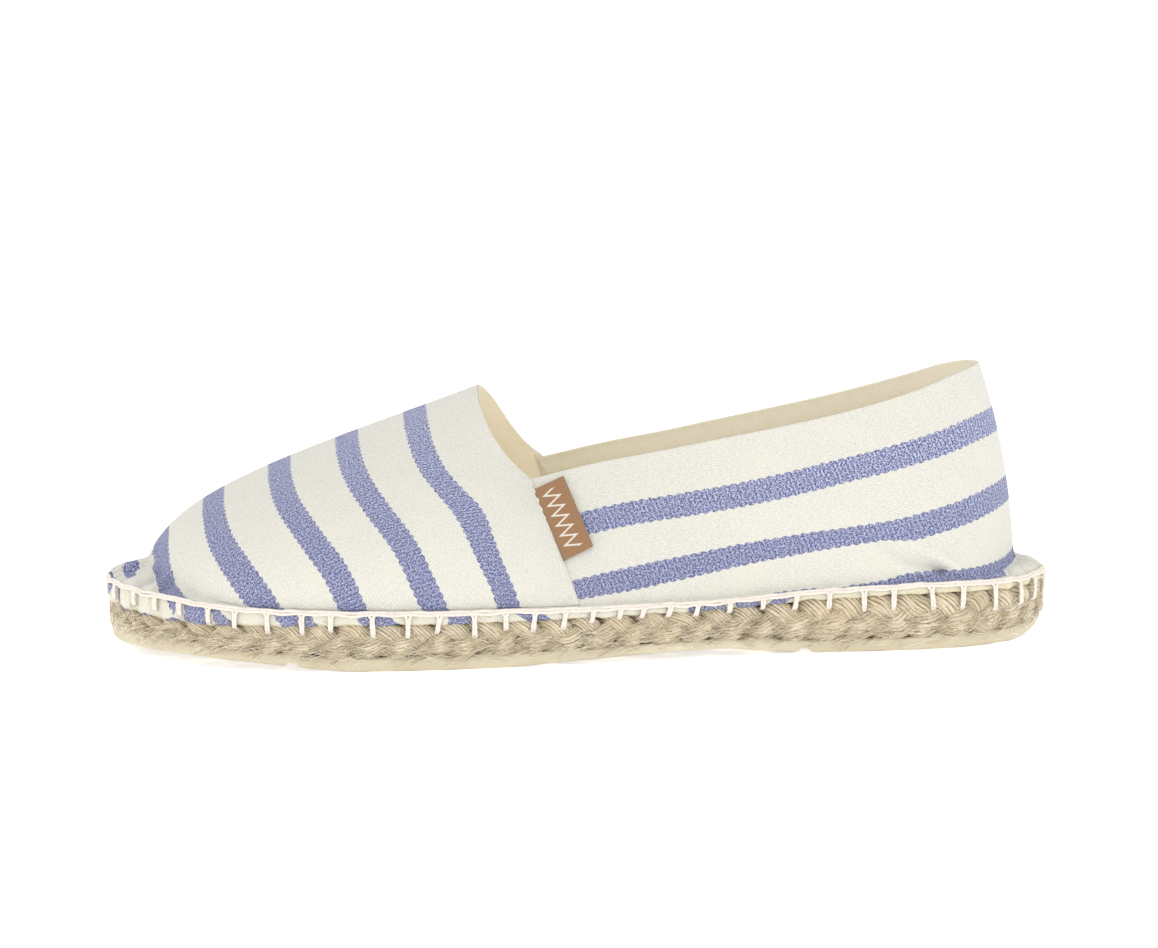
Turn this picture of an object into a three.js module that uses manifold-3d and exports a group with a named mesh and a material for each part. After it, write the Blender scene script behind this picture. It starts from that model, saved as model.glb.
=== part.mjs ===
// A left-foot espadrille, standing empty on a floor, in millimetres.
// +X points to the toe, +Y to the outer side of the foot, +Z up. The floor is z = 0.
// Pieces: a rubber outsole, a braided rope sole, an insole, a canvas upper whose front part laps over
// its back part, and a small label sewn into the outer side seam.
import * as THREE from "three";
import { mergeVertices } from "three/addons/utils/BufferGeometryUtils.js";
import Module from "manifold-3d";

const wasm = await Module();
wasm.setup();

// Driving dimensions: the plan of the sole
const SHOE_LENGTH = 250;
const BALL_WIDTH = 90;
const WAIST_WIDTH = 68;
const HEEL_WIDTH = 63;

// Driving dimensions: heights above the floor along the sole
const TOE_SPRING = 2.4;
const WAIST_LIFT = 2.3;
const HEEL_TIP_LIFT = 0.8;
const TOE_EDGE_HEIGHT = 20.4;
const BALL_EDGE_HEIGHT = 15.6;
const WAIST_EDGE_HEIGHT = 15.4;
const HEEL_EDGE_HEIGHT = 19;

// Driving dimensions: the rubber outsole
const RUBBER_THICKNESS = 3.6;
const SIDE_BEVEL = 1.8;
const HEEL_BEVEL = 4.6;
const RUBBER_SETBACK = 0.4;
const CHANNEL_WIDTH = 2.8;
const CHANNEL_DEPTH = 1.3;
const CHANNEL_FLARE = 1.4;
const FRONT_CHANNEL_FROM_TOE = 49;
const REAR_CHANNEL_FROM_HEEL = 65;

// Driving dimensions: the rope sole
const LOBE_PITCH = 8.6;
const LOBE_DEPTH = 1.2;
const LOBE_PROUD = 0.3;
const ROPE_ROUNDING = 0.6;

// Driving dimensions: the canvas upper
const CANVAS = 1.4;
const FRONT_LAP = 0.9;
const HEM_DEPTH = 3.8;
const HEM_THICKNESS = 1.8;
const HEM_PROUD = 0.2;
const SIDE_LEDGE = 1.4;
const TOE_LEDGE = 11;
const HEEL_LEDGE = 8;
const TOE_LEDGE_RISE = 2.4;
const TOE_LEDGE_RUN = 62;
const HEEL_LEDGE_RUN = 40;
const THROAT_FROM_TOE = 99.4;
const THROAT_HEIGHT = 68.5;
const CORNER_FROM_TOE = 111.2;
const CORNER_HEIGHT = 47;
const SEAM_FOOT_FROM_TOE = 124;
const INNER_SEAM_SHIFT = 5.4;
const COLLAR_WIDTH = 48;
const COLLAR_FROM_HEEL = 16.8;
const HEEL_HEIGHT = 73;
const WALL_BULGE = 2.4;

// Driving dimensions: the insole and the side label
const INSOLE_THICKNESS = 2;
const INSOLE_ROUNDING = 0.5;
const INSOLE_MARGIN = 1;
const LABEL_WIDTH = 8.6;
const LABEL_LENGTH = 20;
const LABEL_DROP = 2.6;
const LABEL_THICKNESS = 0.6;
const LABEL_LIFT = 0.5;
const LABEL_MARGIN = 1;

// Clearance between neighbouring pieces, and how finely the surfaces are cut
const CLEARANCE = 0.3;
const WELD = 1e-3;
const OUTLINE_STEPS = 96;
const FRONT_COLUMNS = 56;
const BACK_COLUMNS = 46;
const WALL_ROWS = 9;
const LABEL_ROWS = 5;
const STEPS_PER_LOBE = 3;

// Half outlines of the sole. at: share of the length from the heel tip; size: the width that the row
// follows; outer, inner: shares of that width on the two sides of the middle line.
const OUTLINE_ROWS = [
  { at: 0.98, size: BALL_WIDTH, outer: 0.13, inner: -0.25 },
  { at: 0.93, size: BALL_WIDTH, outer: 0.29, inner: -0.378 },
  { at: 0.86, size: BALL_WIDTH, outer: 0.407, inner: -0.461 },
  { at: 0.76, size: BALL_WIDTH, outer: 0.484, inner: -0.499 },
  { at: 0.67, size: BALL_WIDTH, outer: 0.499, inner: -0.49 },
  { at: 0.56, size: BALL_WIDTH, outer: 0.472, inner: -0.432 },
  { at: 0.42, size: WAIST_WIDTH, outer: 0.56, inner: -0.47 },
  { at: 0.28, size: HEEL_WIDTH, outer: 0.505, inner: -0.492 },
  { at: 0.16, size: HEEL_WIDTH, outer: 0.49, inner: -0.488 },
  { at: 0.08, size: HEEL_WIDTH, outer: 0.427, inner: -0.413 },
  { at: 0.028, size: HEEL_WIDTH, outer: 0.278, inner: -0.265 },
];
const TOE_TIP_INNER = -0.065;

// Heights along the sole. at: share of the length from the heel tip; under: underside above the floor;
// rubber: thickness of the outsole as a share of RUBBER_THICKNESS; bevel: width of its bevelled lower
// edge; edge: top of the canvas hem above the floor.
const SOLE_ROWS = [
  { at: 0, under: HEEL_TIP_LIFT, rubber: 1.35, bevel: HEEL_BEVEL, edge: 1.03 * HEEL_EDGE_HEIGHT },
  { at: 0.04, under: 0, rubber: 1.15, bevel: 0.7 * HEEL_BEVEL, edge: 1.01 * HEEL_EDGE_HEIGHT },
  { at: 0.14, under: 0, rubber: 0.95, bevel: SIDE_BEVEL, edge: HEEL_EDGE_HEIGHT },
  { at: 0.25, under: 0, rubber: 0.95, bevel: SIDE_BEVEL, edge: 0.93 * HEEL_EDGE_HEIGHT },
  { at: 0.37, under: WAIST_LIFT, rubber: 0.7, bevel: SIDE_BEVEL, edge: 1.02 * WAIST_EDGE_HEIGHT },
  { at: 0.5, under: 0.5 * WAIST_LIFT, rubber: 0.85, bevel: SIDE_BEVEL, edge: WAIST_EDGE_HEIGHT },
  { at: 0.59, under: 0, rubber: 1, bevel: SIDE_BEVEL, edge: BALL_EDGE_HEIGHT },
  { at: 0.73, under: 0, rubber: 1, bevel: SIDE_BEVEL, edge: BALL_EDGE_HEIGHT },
  { at: 0.86, under: 0.45 * TOE_SPRING, rubber: 0.95, bevel: SIDE_BEVEL, edge: 0.8 * TOE_EDGE_HEIGHT },
  { at: 0.95, under: 0.9 * TOE_SPRING, rubber: 1.1, bevel: SIDE_BEVEL, edge: 0.93 * TOE_EDGE_HEIGHT },
  { at: 1, under: TOE_SPRING, rubber: 1.35, bevel: SIDE_BEVEL, edge: TOE_EDGE_HEIGHT },
];

// The throat edge from the inner corner over the instep, whose ridge lies off the middle, to the outer
// corner. across: share of half the collar width; forward: share of the way from a corner to the
// throat; rise: share of the way up.
const THROAT_ROWS = [
  { across: -1, forward: 0, rise: 0 },
  { across: -0.99, forward: 0.14, rise: 0.08 },
  { across: -0.96, forward: 0.29, rise: 0.2 },
  { across: -0.88, forward: 0.47, rise: 0.4 },
  { across: -0.77, forward: 0.61, rise: 0.59 },
  { across: -0.62, forward: 0.75, rise: 0.78 },
  { across: -0.43, forward: 0.88, rise: 0.92 },
  { across: -0.15, forward: 0.98, rise: 1 },
  { across: 0.17, forward: 1, rise: 0.95 },
  { across: 0.42, forward: 0.98, rise: 0.84 },
  { across: 0.65, forward: 0.88, rise: 0.67 },
  { across: 0.83, forward: 0.7, rise: 0.46 },
  { across: 0.94, forward: 0.46, rise: 0.26 },
  { across: 0.99, forward: 0.19, rise: 0.1 },
  { across: 1, forward: 0, rise: 0 },
];

// The collar edge from a corner to the middle of the heel. across: share of half the collar width;
// back: share of the way from corner to heel; rise: share of the way up.
const COLLAR_ROWS = [
  { across: 1, back: 0, rise: 0 },
  { across: 0.93, back: 0.15, rise: 0.15 },
  { across: 0.93, back: 0.28, rise: 0.25 },
  { across: 0.95, back: 0.41, rise: 0.36 },
  { across: 0.96, back: 0.54, rise: 0.47 },
  { across: 0.94, back: 0.67, rise: 0.59 },
  { across: 0.89, back: 0.77, rise: 0.7 },
  { across: 0.79, back: 0.855, rise: 0.81 },
  { across: 0.64, back: 0.92, rise: 0.91 },
  { across: 0.38, back: 0.975, rise: 0.98 },
  { across: 0, back: 1, rise: 1 },
];

// How a rib of the upper curves between hem and opening, as the two middle points of a cubic curve.
// turn: 0 at the toe, 1 at the side seams and all along the back; run and rise: shares of the way in
// and of the way up; bulge: share of WALL_BULGE.
const RIB_ROWS = [
  { turn: 0, run1: 0, rise1: 0.4, run2: 0.47, rise2: 0.6, bulge: 0 },
  { turn: 0.45, run1: 0.02, rise1: 0.36, run2: 0.42, rise2: 0.68, bulge: 0.3 },
  { turn: 0.8, run1: 0.08, rise1: 0.4, run2: 0.46, rise2: 0.78, bulge: 0.7 },
  { turn: 1, run1: 0.3, rise1: 0.34, run2: 0.64, rise2: 0.68, bulge: 1 },
];

const shareX = (share) => (share - 0.5) * SHOE_LENGTH;
const fromToe = (distance) => SHOE_LENGTH / 2 - distance;
const fromHeel = (distance) => distance - SHOE_LENGTH / 2;

// A smooth function through one column of a table that never swings past its rows: a cubic whose
// slope at each row is the harmonic mean of its neighbours' slopes, or zero at a turning point.
function smoothColumn(rows, key, column) {
  const x = rows.map((row) => row[key]);
  const y = rows.map((row) => row[column]);
  const steps = x.slice(1).map((value, k) => (y[k + 1] - y[k]) / (value - x[k]));
  const slopes = x.map((_, k) => {
    const before = steps[k - 1] ?? steps[k];
    const after = steps[k] ?? steps[k - 1];
    return before * after <= 0 ? 0 : (2 * before * after) / (before + after);
  });
  return (value) => {
    const v = THREE.MathUtils.clamp(value, x[0], x[x.length - 1]);
    let k = 0;
    while (k < x.length - 2 && v > x[k + 1]) k += 1;
    const width = x[k + 1] - x[k];
    const s = (v - x[k]) / width;
    const rest = 1 - s;
    return (
      rest * rest * ((1 + 2 * s) * y[k] + s * width * slopes[k]) +
      s * s * ((3 - 2 * s) * y[k + 1] - rest * width * slopes[k + 1])
    );
  };
}

const underHeight = smoothColumn(SOLE_ROWS, "at", "under");
const rubberShare = smoothColumn(SOLE_ROWS, "at", "rubber");
const bevelWidth = smoothColumn(SOLE_ROWS, "at", "bevel");
const edgeHeight = smoothColumn(SOLE_ROWS, "at", "edge");

// A closed or open curve through points, measured by its length.
function curveThrough(points, closed) {
  const curve = new THREE.CatmullRomCurve3(points, closed, "centripetal");
  curve.arcLengthDivisions = 1600;
  return curve;
}

// The outline of the sole from the toe tip along the outer side to the heel tip and back.
const outerSide = OUTLINE_ROWS.map((r) => new THREE.Vector3(shareX(r.at), r.size * r.outer, 0));
const innerSide = OUTLINE_ROWS.map((r) => new THREE.Vector3(shareX(r.at), r.size * r.inner, 0));
const toeTip = new THREE.Vector3(shareX(1), TOE_TIP_INNER * BALL_WIDTH, 0);
const heelTip = new THREE.Vector3(shareX(0), 0, 0);
const outline = curveThrough([toeTip, ...outerSide, heelTip, ...innerSide.reverse()], true);
const outlineLength = outline.getLength();

// Where the outline crosses a given x, on the outer side (from 0 to 0.5) or the inner one (from 1 to 0.5).
function outlineShareAt(x, tipShare) {
  let front = tipShare;
  let back = 0.5;
  for (let step = 0; step < 40; step += 1) {
    const middle = (front + back) / 2;
    if (outline.getPointAt(middle).x > x) front = middle;
    else back = middle;
  }
  return front;
}

// One station of the sole's edge: its place, the plan direction that points outwards, and its heights.
function station(share) {
  const u = THREE.MathUtils.euclideanModulo(share, 1);
  const place = outline.getPointAt(u);
  const tangent = outline.getTangentAt(u);
  const outwards = new THREE.Vector3(tangent.y, -tangent.x, 0);
  const at = place.x / SHOE_LENGTH + 0.5;
  const toTip = Math.min(u, 1 - u) * outlineLength;
  const toHeel = Math.abs(u - 0.5) * outlineLength;
  const ease = (distance, run) => THREE.MathUtils.smoothstep(run - distance, 0, run);
  return {
    place,
    outwards,
    under: underHeight(at),
    bevel: bevelWidth(at),
    ropeFoot: underHeight(at) + RUBBER_THICKNESS * rubberShare(at),
    edge: edgeHeight(at),
    rise: TOE_LEDGE_RISE * ease(toTip, TOE_LEDGE_RUN),
    ledge:
      SIDE_LEDGE +
      (TOE_LEDGE - SIDE_LEDGE) * ease(toTip, TOE_LEDGE_RUN) +
      (HEEL_LEDGE - SIDE_LEDGE) * ease(toHeel, HEEL_LEDGE_RUN),
  };
}

// The point of a station that lies inset from the outline, at a height.
function inside(s, inset, z) {
  return s.place.clone().addScaledVector(s.outwards, -inset).setZ(z);
}

// A welded geometry from points and triangles, without the triangles that the weld flattens.
function geometryOf(points, triangles) {
  const raw = new THREE.BufferGeometry().setFromPoints(points).setIndex(triangles.flat());
  const merged = mergeVertices(raw, WELD);
  const index = merged.index.array;
  const kept = [];
  for (let k = 0; k < index.length; k += 3) {
    const [a, b, c] = [index[k], index[k + 1], index[k + 2]];
    if (a !== b && b !== c && c !== a) kept.push(a, b, c);
  }
  merged.setIndex(kept);
  merged.computeVertexNormals();
  return merged;
}

// Triangles between neighbouring rings of points, each ring closed on itself.
function wallTriangles(ringCount, size, closed) {
  const found = [];
  const last = closed ? ringCount : ringCount - 1;
  for (let r = 0; r < last; r += 1) {
    const here = r * size;
    const next = ((r + 1) % ringCount) * size;
    for (let i = 0; i < size; i += 1) {
      const j = (i + 1) % size;
      found.push([here + i, here + j, next + j], [here + i, next + j, next + i]);
    }
  }
  return found;
}

// Triangles over a ring that starts at the toe and turns at the heel, laid across from side to side.
function capTriangles(ring, first, facingUp) {
  const size = ring.length;
  let heel = 0;
  ring.forEach((p, i) => {
    if (p.x < ring[heel].x) heel = i;
  });
  const found = [];
  let outer = 0;
  let inner = size;
  while (outer < heel || inner > heel) {
    const outerNext = outer < heel ? ring[outer + 1].x : -Infinity;
    const innerNext = inner > heel ? ring[inner - 1].x : -Infinity;
    const face = [outer, outerNext >= innerNext ? outer + 1 : inner - 1, inner % size];
    if (outerNext >= innerNext) outer += 1;
    else inner -= 1;
    found.push(facingUp ? face : face.reverse());
  }
  return found.map((face) => face.map((i) => first + i));
}

// A plate from rings stacked from the underside to the top, closed by a cap at each end.
function plateGeometry(rings) {
  const size = rings[0].length;
  return geometryOf(rings.flat(), [
    ...wallTriangles(rings.length, size, false),
    ...capTriangles(rings[0], 0, false),
    ...capTriangles(rings.at(-1), (rings.length - 1) * size, true),
  ]);
}

function toSolid(geometry) {
  return new wasm.Manifold(
    new wasm.Mesh({
      numProp: 3,
      vertProperties: geometry.attributes.position.array,
      triVerts: new Uint32Array(geometry.index.array),
    }),
  );
}

function toGeometry(solid) {
  const mesh = solid.getMesh();
  const geometry = new THREE.BufferGeometry();
  geometry.setAttribute("position", new THREE.BufferAttribute(mesh.vertProperties, 3));
  geometry.setIndex(new THREE.BufferAttribute(mesh.triVerts, 1));
  geometry.computeVertexNormals();
  return geometry;
}

const evenStations = Array.from({ length: OUTLINE_STEPS }, (_, k) => station(k / OUTLINE_STEPS));

// The rubber outsole: a plate with a bevelled lower edge and two channels across its underside.
function channelGeometry(x) {
  const roof = underHeight(x / SHOE_LENGTH + 0.5) + CHANNEL_DEPTH;
  const top = CHANNEL_WIDTH / 2;
  const foot = top + CHANNEL_FLARE;
  const below = -CHANNEL_DEPTH;
  const profile = new THREE.Shape([
    new THREE.Vector2(x - foot, below),
    new THREE.Vector2(x + foot, below),
    new THREE.Vector2(x + foot, roof - CHANNEL_DEPTH),
    new THREE.Vector2(x + top, roof - CHANNEL_DEPTH / 2),
    new THREE.Vector2(x + top, roof),
    new THREE.Vector2(x - top, roof),
    new THREE.Vector2(x - top, roof - CHANNEL_DEPTH / 2),
    new THREE.Vector2(x - foot, roof - CHANNEL_DEPTH),
  ]);
  const length = 2 * BALL_WIDTH;
  const prism = new THREE.ExtrudeGeometry(profile, { depth: length, bevelEnabled: false });
  prism.rotateX(Math.PI / 2).translate(0, length / 2, 0);
  prism.deleteAttribute("normal").deleteAttribute("uv");
  return mergeVertices(prism, WELD);
}

function outsoleGeometry() {
  const rings = [
    evenStations.map((s) => inside(s, RUBBER_SETBACK + s.bevel, s.under)),
    evenStations.map((s) => inside(s, RUBBER_SETBACK + s.bevel / 3, s.under + s.bevel / 3)),
    evenStations.map((s) => inside(s, RUBBER_SETBACK, s.under + s.bevel * 0.9)),
    evenStations.map((s) => inside(s, RUBBER_SETBACK, s.ropeFoot)),
  ];
  const plate = toSolid(plateGeometry(rings));
  const front = toSolid(channelGeometry(fromToe(FRONT_CHANNEL_FROM_TOE)));
  const rear = toSolid(channelGeometry(fromHeel(REAR_CHANNEL_FROM_HEEL)));
  return toGeometry(plate.subtract(front).subtract(rear));
}

// The rope sole: a plate whose side shows the braid as two rows of lobes, stepped in under the hem.
function ropeSoleGeometry() {
  const lobes = Math.round(outlineLength / LOBE_PITCH);
  const size = lobes * STEPS_PER_LOBE;
  const stations = Array.from({ length: size }, (_, k) => station(k / size));
  const lobe = (k, shift) => ((k + shift) % STEPS_PER_LOBE === 0 ? LOBE_DEPTH : 0) - LOBE_PROUD;
  const foot = (s) => s.ropeFoot + CLEARANCE;
  const hemFoot = (s) => s.edge - HEM_DEPTH - CLEARANCE;
  const up = (s, share) => foot(s) + share * (hemFoot(s) - foot(s));
  const collar = HEM_THICKNESS - HEM_PROUD + 2 * CLEARANCE;
  const top = (s) => s.edge - CANVAS - CLEARANCE;
  return plateGeometry([
    stations.map((s) => inside(s, ROPE_ROUNDING, foot(s))),
    stations.map((s, k) => inside(s, lobe(k, 1), up(s, 0.25))),
    stations.map((s) => inside(s, ROPE_ROUNDING, up(s, 0.48))),
    stations.map((s, k) => inside(s, lobe(k, 0), up(s, 0.75))),
    stations.map((s) => inside(s, ROPE_ROUNDING, hemFoot(s))),
    stations.map((s) => inside(s, collar, hemFoot(s))),
    stations.map((s) => inside(s, collar, top(s))),
  ]);
}

// The insole: a thin plate inside the walls of the upper, with its top edge rounded.
function insoleGeometry() {
  const edge = (s) => s.ledge + CANVAS + INSOLE_MARGIN;
  const foot = (s) => s.edge - CANVAS;
  const top = (s) => foot(s) + INSOLE_THICKNESS;
  return plateGeometry([
    evenStations.map((s) => inside(s, edge(s), foot(s))),
    evenStations.map((s) => inside(s, edge(s), top(s) - INSOLE_ROUNDING)),
    evenStations.map((s) => inside(s, edge(s) + INSOLE_ROUNDING, top(s))),
  ]);
}

// The opening of the upper: the throat edge over the instep and the collar edge round the heel,
// each from the inner corner to the outer one or back.
const halfCollar = COLLAR_WIDTH / 2;
const cornerX = (side) => fromToe(CORNER_FROM_TOE) - (side < 0 ? INNER_SEAM_SHIFT : 0);

function throatPoint(row) {
  return new THREE.Vector3(
    THREE.MathUtils.lerp(cornerX(row.across), fromToe(THROAT_FROM_TOE), row.forward),
    halfCollar * row.across,
    THREE.MathUtils.lerp(CORNER_HEIGHT, THROAT_HEIGHT, row.rise),
  );
}

function collarPoint(row, side) {
  return new THREE.Vector3(
    THREE.MathUtils.lerp(cornerX(side), fromHeel(COLLAR_FROM_HEEL), row.back),
    side * halfCollar * row.across,
    THREE.MathUtils.lerp(CORNER_HEIGHT, HEEL_HEIGHT, row.rise),
  );
}

const outerCollar = COLLAR_ROWS.map((row) => collarPoint(row, 1));
const innerCollar = COLLAR_ROWS.slice(0, -1).map((row) => collarPoint(row, -1));
const throat = curveThrough(THROAT_ROWS.map(throatPoint), false);
const collar = curveThrough([...outerCollar, ...innerCollar.reverse()], false);
const outerSeam = outlineShareAt(fromToe(SEAM_FOOT_FROM_TOE), 0);
const innerSeam = outlineShareAt(fromToe(SEAM_FOOT_FROM_TOE) - INNER_SEAM_SHIFT, 1);

const ribRun1 = smoothColumn(RIB_ROWS, "turn", "run1");
const ribRise1 = smoothColumn(RIB_ROWS, "turn", "rise1");
const ribRun2 = smoothColumn(RIB_ROWS, "turn", "run2");
const ribRise2 = smoothColumn(RIB_ROWS, "turn", "rise2");
const ribBulge = smoothColumn(RIB_ROWS, "turn", "bulge");

// A rib of the upper: a cubic curve from the ledge on the sole up to a point of the opening.
function ribBetween(s, opening, turn) {
  const foot = inside(s, s.ledge, s.edge + s.rise);
  const way = opening.clone().sub(foot);
  const middle = (run, rise) =>
    new THREE.Vector3(way.x * run, way.y * run, way.z * rise)
      .add(foot)
      .addScaledVector(s.outwards, WALL_BULGE * ribBulge(turn));
  return new THREE.CubicBezierCurve3(
    foot,
    middle(ribRun1(turn), ribRise1(turn)),
    middle(ribRun2(turn), ribRise2(turn)),
    opening,
  );
}

// A column of the front part, from the inner seam (0) round the toe to the outer seam (1).
function frontColumn(share) {
  const s = station(THREE.MathUtils.lerp(innerSeam, 1 + outerSeam, share));
  const turn = Math.abs(2 * share - 1);
  return { s, lap: FRONT_LAP, rib: ribBetween(s, throat.getPointAt(share), turn) };
}

// A column of the back part, from the outer seam (0) round the heel to the inner seam (1).
function backColumn(share) {
  const s = station(THREE.MathUtils.lerp(outerSeam, innerSeam, share));
  return { s, lap: 0, rib: ribBetween(s, collar.getPointAt(share), 1) };
}

// The directions that point out of the upper, at each row of each column.
function outwardDirections(grid) {
  const count = grid.length;
  return grid.map((column, i) =>
    column.map((_, j) => {
      const before = grid[(i + count - 1) % count];
      const after = grid[(i + 1) % count];
      const along = after[j].clone().sub(before[j]);
      const up = column[Math.min(j + 1, WALL_ROWS)].clone().sub(column[Math.max(j - 1, 0)]);
      return along.cross(up).normalize();
    }),
  );
}

// The upper: one wall of canvas from the opening down to the ledge, out over the rope sole and down
// over its edge as a hem. Its front part stands proud of the back part, with a step at each seam.
function upperGeometry() {
  const columns = [];
  for (let k = 0; k <= FRONT_COLUMNS; k += 1) columns.push(frontColumn(k / FRONT_COLUMNS));
  for (let k = 0; k <= BACK_COLUMNS; k += 1) columns.push(backColumn(k / BACK_COLUMNS));
  const grid = columns.map(({ rib }) => rib.getPoints(WALL_ROWS));
  const out = outwardDirections(grid);
  const wallRing = (row, offset) =>
    columns.map((column, i) => grid[i][row].clone().addScaledVector(out[i][row], offset(column)));
  const rings = [];
  const lapAt = (row) => (column) => column.lap * Math.min(1, row);
  for (let row = WALL_ROWS; row >= 0; row -= 1) rings.push(wallRing(row, lapAt(row)));
  const stations = columns.map(({ s }) => s);
  const hemInset = HEM_THICKNESS - HEM_PROUD;
  rings.push(
    stations.map((s) => inside(s, -HEM_PROUD, s.edge - HEM_PROUD)),
    stations.map((s) => inside(s, -HEM_PROUD, s.edge - HEM_DEPTH)),
    stations.map((s) => inside(s, hemInset, s.edge - HEM_DEPTH)),
    stations.map((s) => inside(s, hemInset, s.edge - CANVAS)),
    stations.map((s) => inside(s, s.ledge + CANVAS, s.edge - CANVAS)),
  );
  for (let row = 1; row <= WALL_ROWS; row += 1) rings.push(wallRing(row, () => -CANVAS));
  const triangles = wallTriangles(rings.length, columns.length, true);
  return geometryOf(rings.flat(), triangles.map((face) => face.reverse()));
}

// The share of the back part and the share of its rib that stand at a given x and z on the outer side.
function backWallAt(x, z) {
  const probe = 1e-3;
  const surface = (share, row) => backColumn(share).rib.getPoint(row);
  let share = 0.03;
  let row = 0.5;
  for (let step = 0; step < 12; step += 1) {
    const here = surface(share, row);
    const a = surface(share + probe, row).sub(here).divideScalar(probe);
    const b = surface(share, row + probe).sub(here).divideScalar(probe);
    const scale = a.x * b.z - b.x * a.z;
    const [dx, dz] = [x - here.x, z - here.z];
    share = Math.max(0, share + (dx * b.z - dz * b.x) / scale);
    row += (a.x * dz - a.z * dx) / scale;
  }
  const here = surface(share, row);
  const along = surface(share + probe, row).sub(here);
  const up = surface(share, row + probe).sub(here);
  return { here, out: along.cross(up).normalize() };
}

// The label: a thin tab against the back part, with its long side along the outer seam.
function labelGeometry() {
  const seam = frontColumn(1).rib;
  const top = seam.getPoint(1);
  const down = seam.getPoint(0).sub(top).setY(0).normalize();
  const rear = new THREE.Vector3(down.z, 0, -down.x);
  const faces = [LABEL_LIFT, LABEL_LIFT + LABEL_THICKNESS].map((lift) => {
    const points = [];
    for (let row = 0; row <= LABEL_ROWS; row += 1)
      for (const reach of [LABEL_MARGIN, LABEL_MARGIN + LABEL_WIDTH / 2, LABEL_MARGIN + LABEL_WIDTH]) {
        const drop = LABEL_DROP + (row / LABEL_ROWS) * LABEL_LENGTH;
        const spot = top.clone().addScaledVector(down, drop).addScaledVector(rear, reach);
        const { here, out } = backWallAt(spot.x, spot.z);
        points.push(here.addScaledVector(out, lift));
      }
    return points;
  });
  const across = 3;
  const rim = [
    ...Array.from({ length: across }, (_, k) => k),
    ...Array.from({ length: LABEL_ROWS }, (_, k) => (k + 2) * across - 1),
    ...Array.from({ length: across - 1 }, (_, k) => (LABEL_ROWS + 1) * across - 2 - k),
    ...Array.from({ length: LABEL_ROWS - 1 }, (_, k) => (LABEL_ROWS - 1 - k) * across),
  ];
  const half = faces[0].length;
  const triangles = [];
  for (let row = 0; row < LABEL_ROWS; row += 1)
    for (let k = 0; k < across - 1; k += 1) {
      const a = row * across + k;
      const [b, c, d] = [a + 1, a + across + 1, a + across];
      triangles.push([a, b, c], [a, c, d]);
      triangles.push([half + a, half + c, half + b], [half + a, half + d, half + c]);
    }
  rim.forEach((a, k) => {
    const b = rim[(k + 1) % rim.length];
    triangles.push([b, a, half + a], [b, half + a, half + b]);
  });
  return geometryOf(faces.flat(), triangles);
}

function piece(name, geometry, color, roughness) {
  const material = new THREE.MeshStandardMaterial({ color, roughness, metalness: 0 });
  const mesh = new THREE.Mesh(geometry, material);
  mesh.name = name;
  return mesh;
}

const espadrille = new THREE.Group();
espadrille.add(
  piece("outsole", outsoleGeometry(), "#d3c6ab", 0.6),
  piece("rope_sole", ropeSoleGeometry(), "#d6c7a3", 0.95),
  piece("insole", insoleGeometry(), "#e0d6bf", 0.9),
  piece("upper", upperGeometry(), "#ebe7d9", 0.9),
  piece("side_label", labelGeometry(), "#a87a54", 0.8),
);

export default espadrille;
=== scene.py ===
import math
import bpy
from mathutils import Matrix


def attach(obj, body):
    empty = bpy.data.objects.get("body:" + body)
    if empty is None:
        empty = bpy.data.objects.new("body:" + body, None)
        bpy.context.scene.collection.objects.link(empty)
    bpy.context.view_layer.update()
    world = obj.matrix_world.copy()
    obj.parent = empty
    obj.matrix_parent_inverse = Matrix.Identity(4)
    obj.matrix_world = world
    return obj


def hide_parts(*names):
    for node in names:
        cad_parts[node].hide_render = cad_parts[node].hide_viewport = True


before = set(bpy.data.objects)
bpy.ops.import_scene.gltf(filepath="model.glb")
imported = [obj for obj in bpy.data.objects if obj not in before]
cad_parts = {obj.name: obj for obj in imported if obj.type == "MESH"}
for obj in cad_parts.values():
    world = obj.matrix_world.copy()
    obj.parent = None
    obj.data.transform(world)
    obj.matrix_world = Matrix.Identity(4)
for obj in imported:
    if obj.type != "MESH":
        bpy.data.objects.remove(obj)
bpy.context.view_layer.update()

from types import SimpleNamespace

import bpy
import numpy as np
from mathutils import Matrix

# The rubber outsole: one moulded beige plate under the rope, thin along the sides and turned up at toe and
# heel. Its lower edge is rounded, two channels cross its underside, and it was pressed on while soft, so
# that its upper edge creeps unevenly round the rope.
# Every size is in millimetres, and new_piece turns them into metres.
SHOE_LENGTH = 250
BALL_WIDTH = 90
WAIST_WIDTH = 68
HEEL_WIDTH = 63
TOE_SPRING = 3.3
WAIST_LIFT = 2.3
HEEL_TIP_LIFT = 0.8
TOE_EDGE_HEIGHT = 20.4
BALL_EDGE_HEIGHT = 15.6
WAIST_EDGE_HEIGHT = 15.4
HEEL_EDGE_HEIGHT = 19
RUBBER_THICKNESS = 3.6
SIDE_BEVEL = 1.8
HEEL_BEVEL = 4.6
RUBBER_SETBACK = 0.4
HEEL_SLANT = 0.4
HEEL_SLANT_RUN = 45
HEEL_DROOP = 1.4
HEEL_DROOP_RUN = 135
RUBBER_CREEP = 1.1
TOE_CREEP = 2.4
TOE_CREEP_RUN = 55
CHANNEL_HALF_WIDTH = 1.4
CHANNEL_FLARE = 1.4
CHANNEL_DEPTH = 1.3
CHANNEL_PLACES = (76.5, -58)

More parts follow.
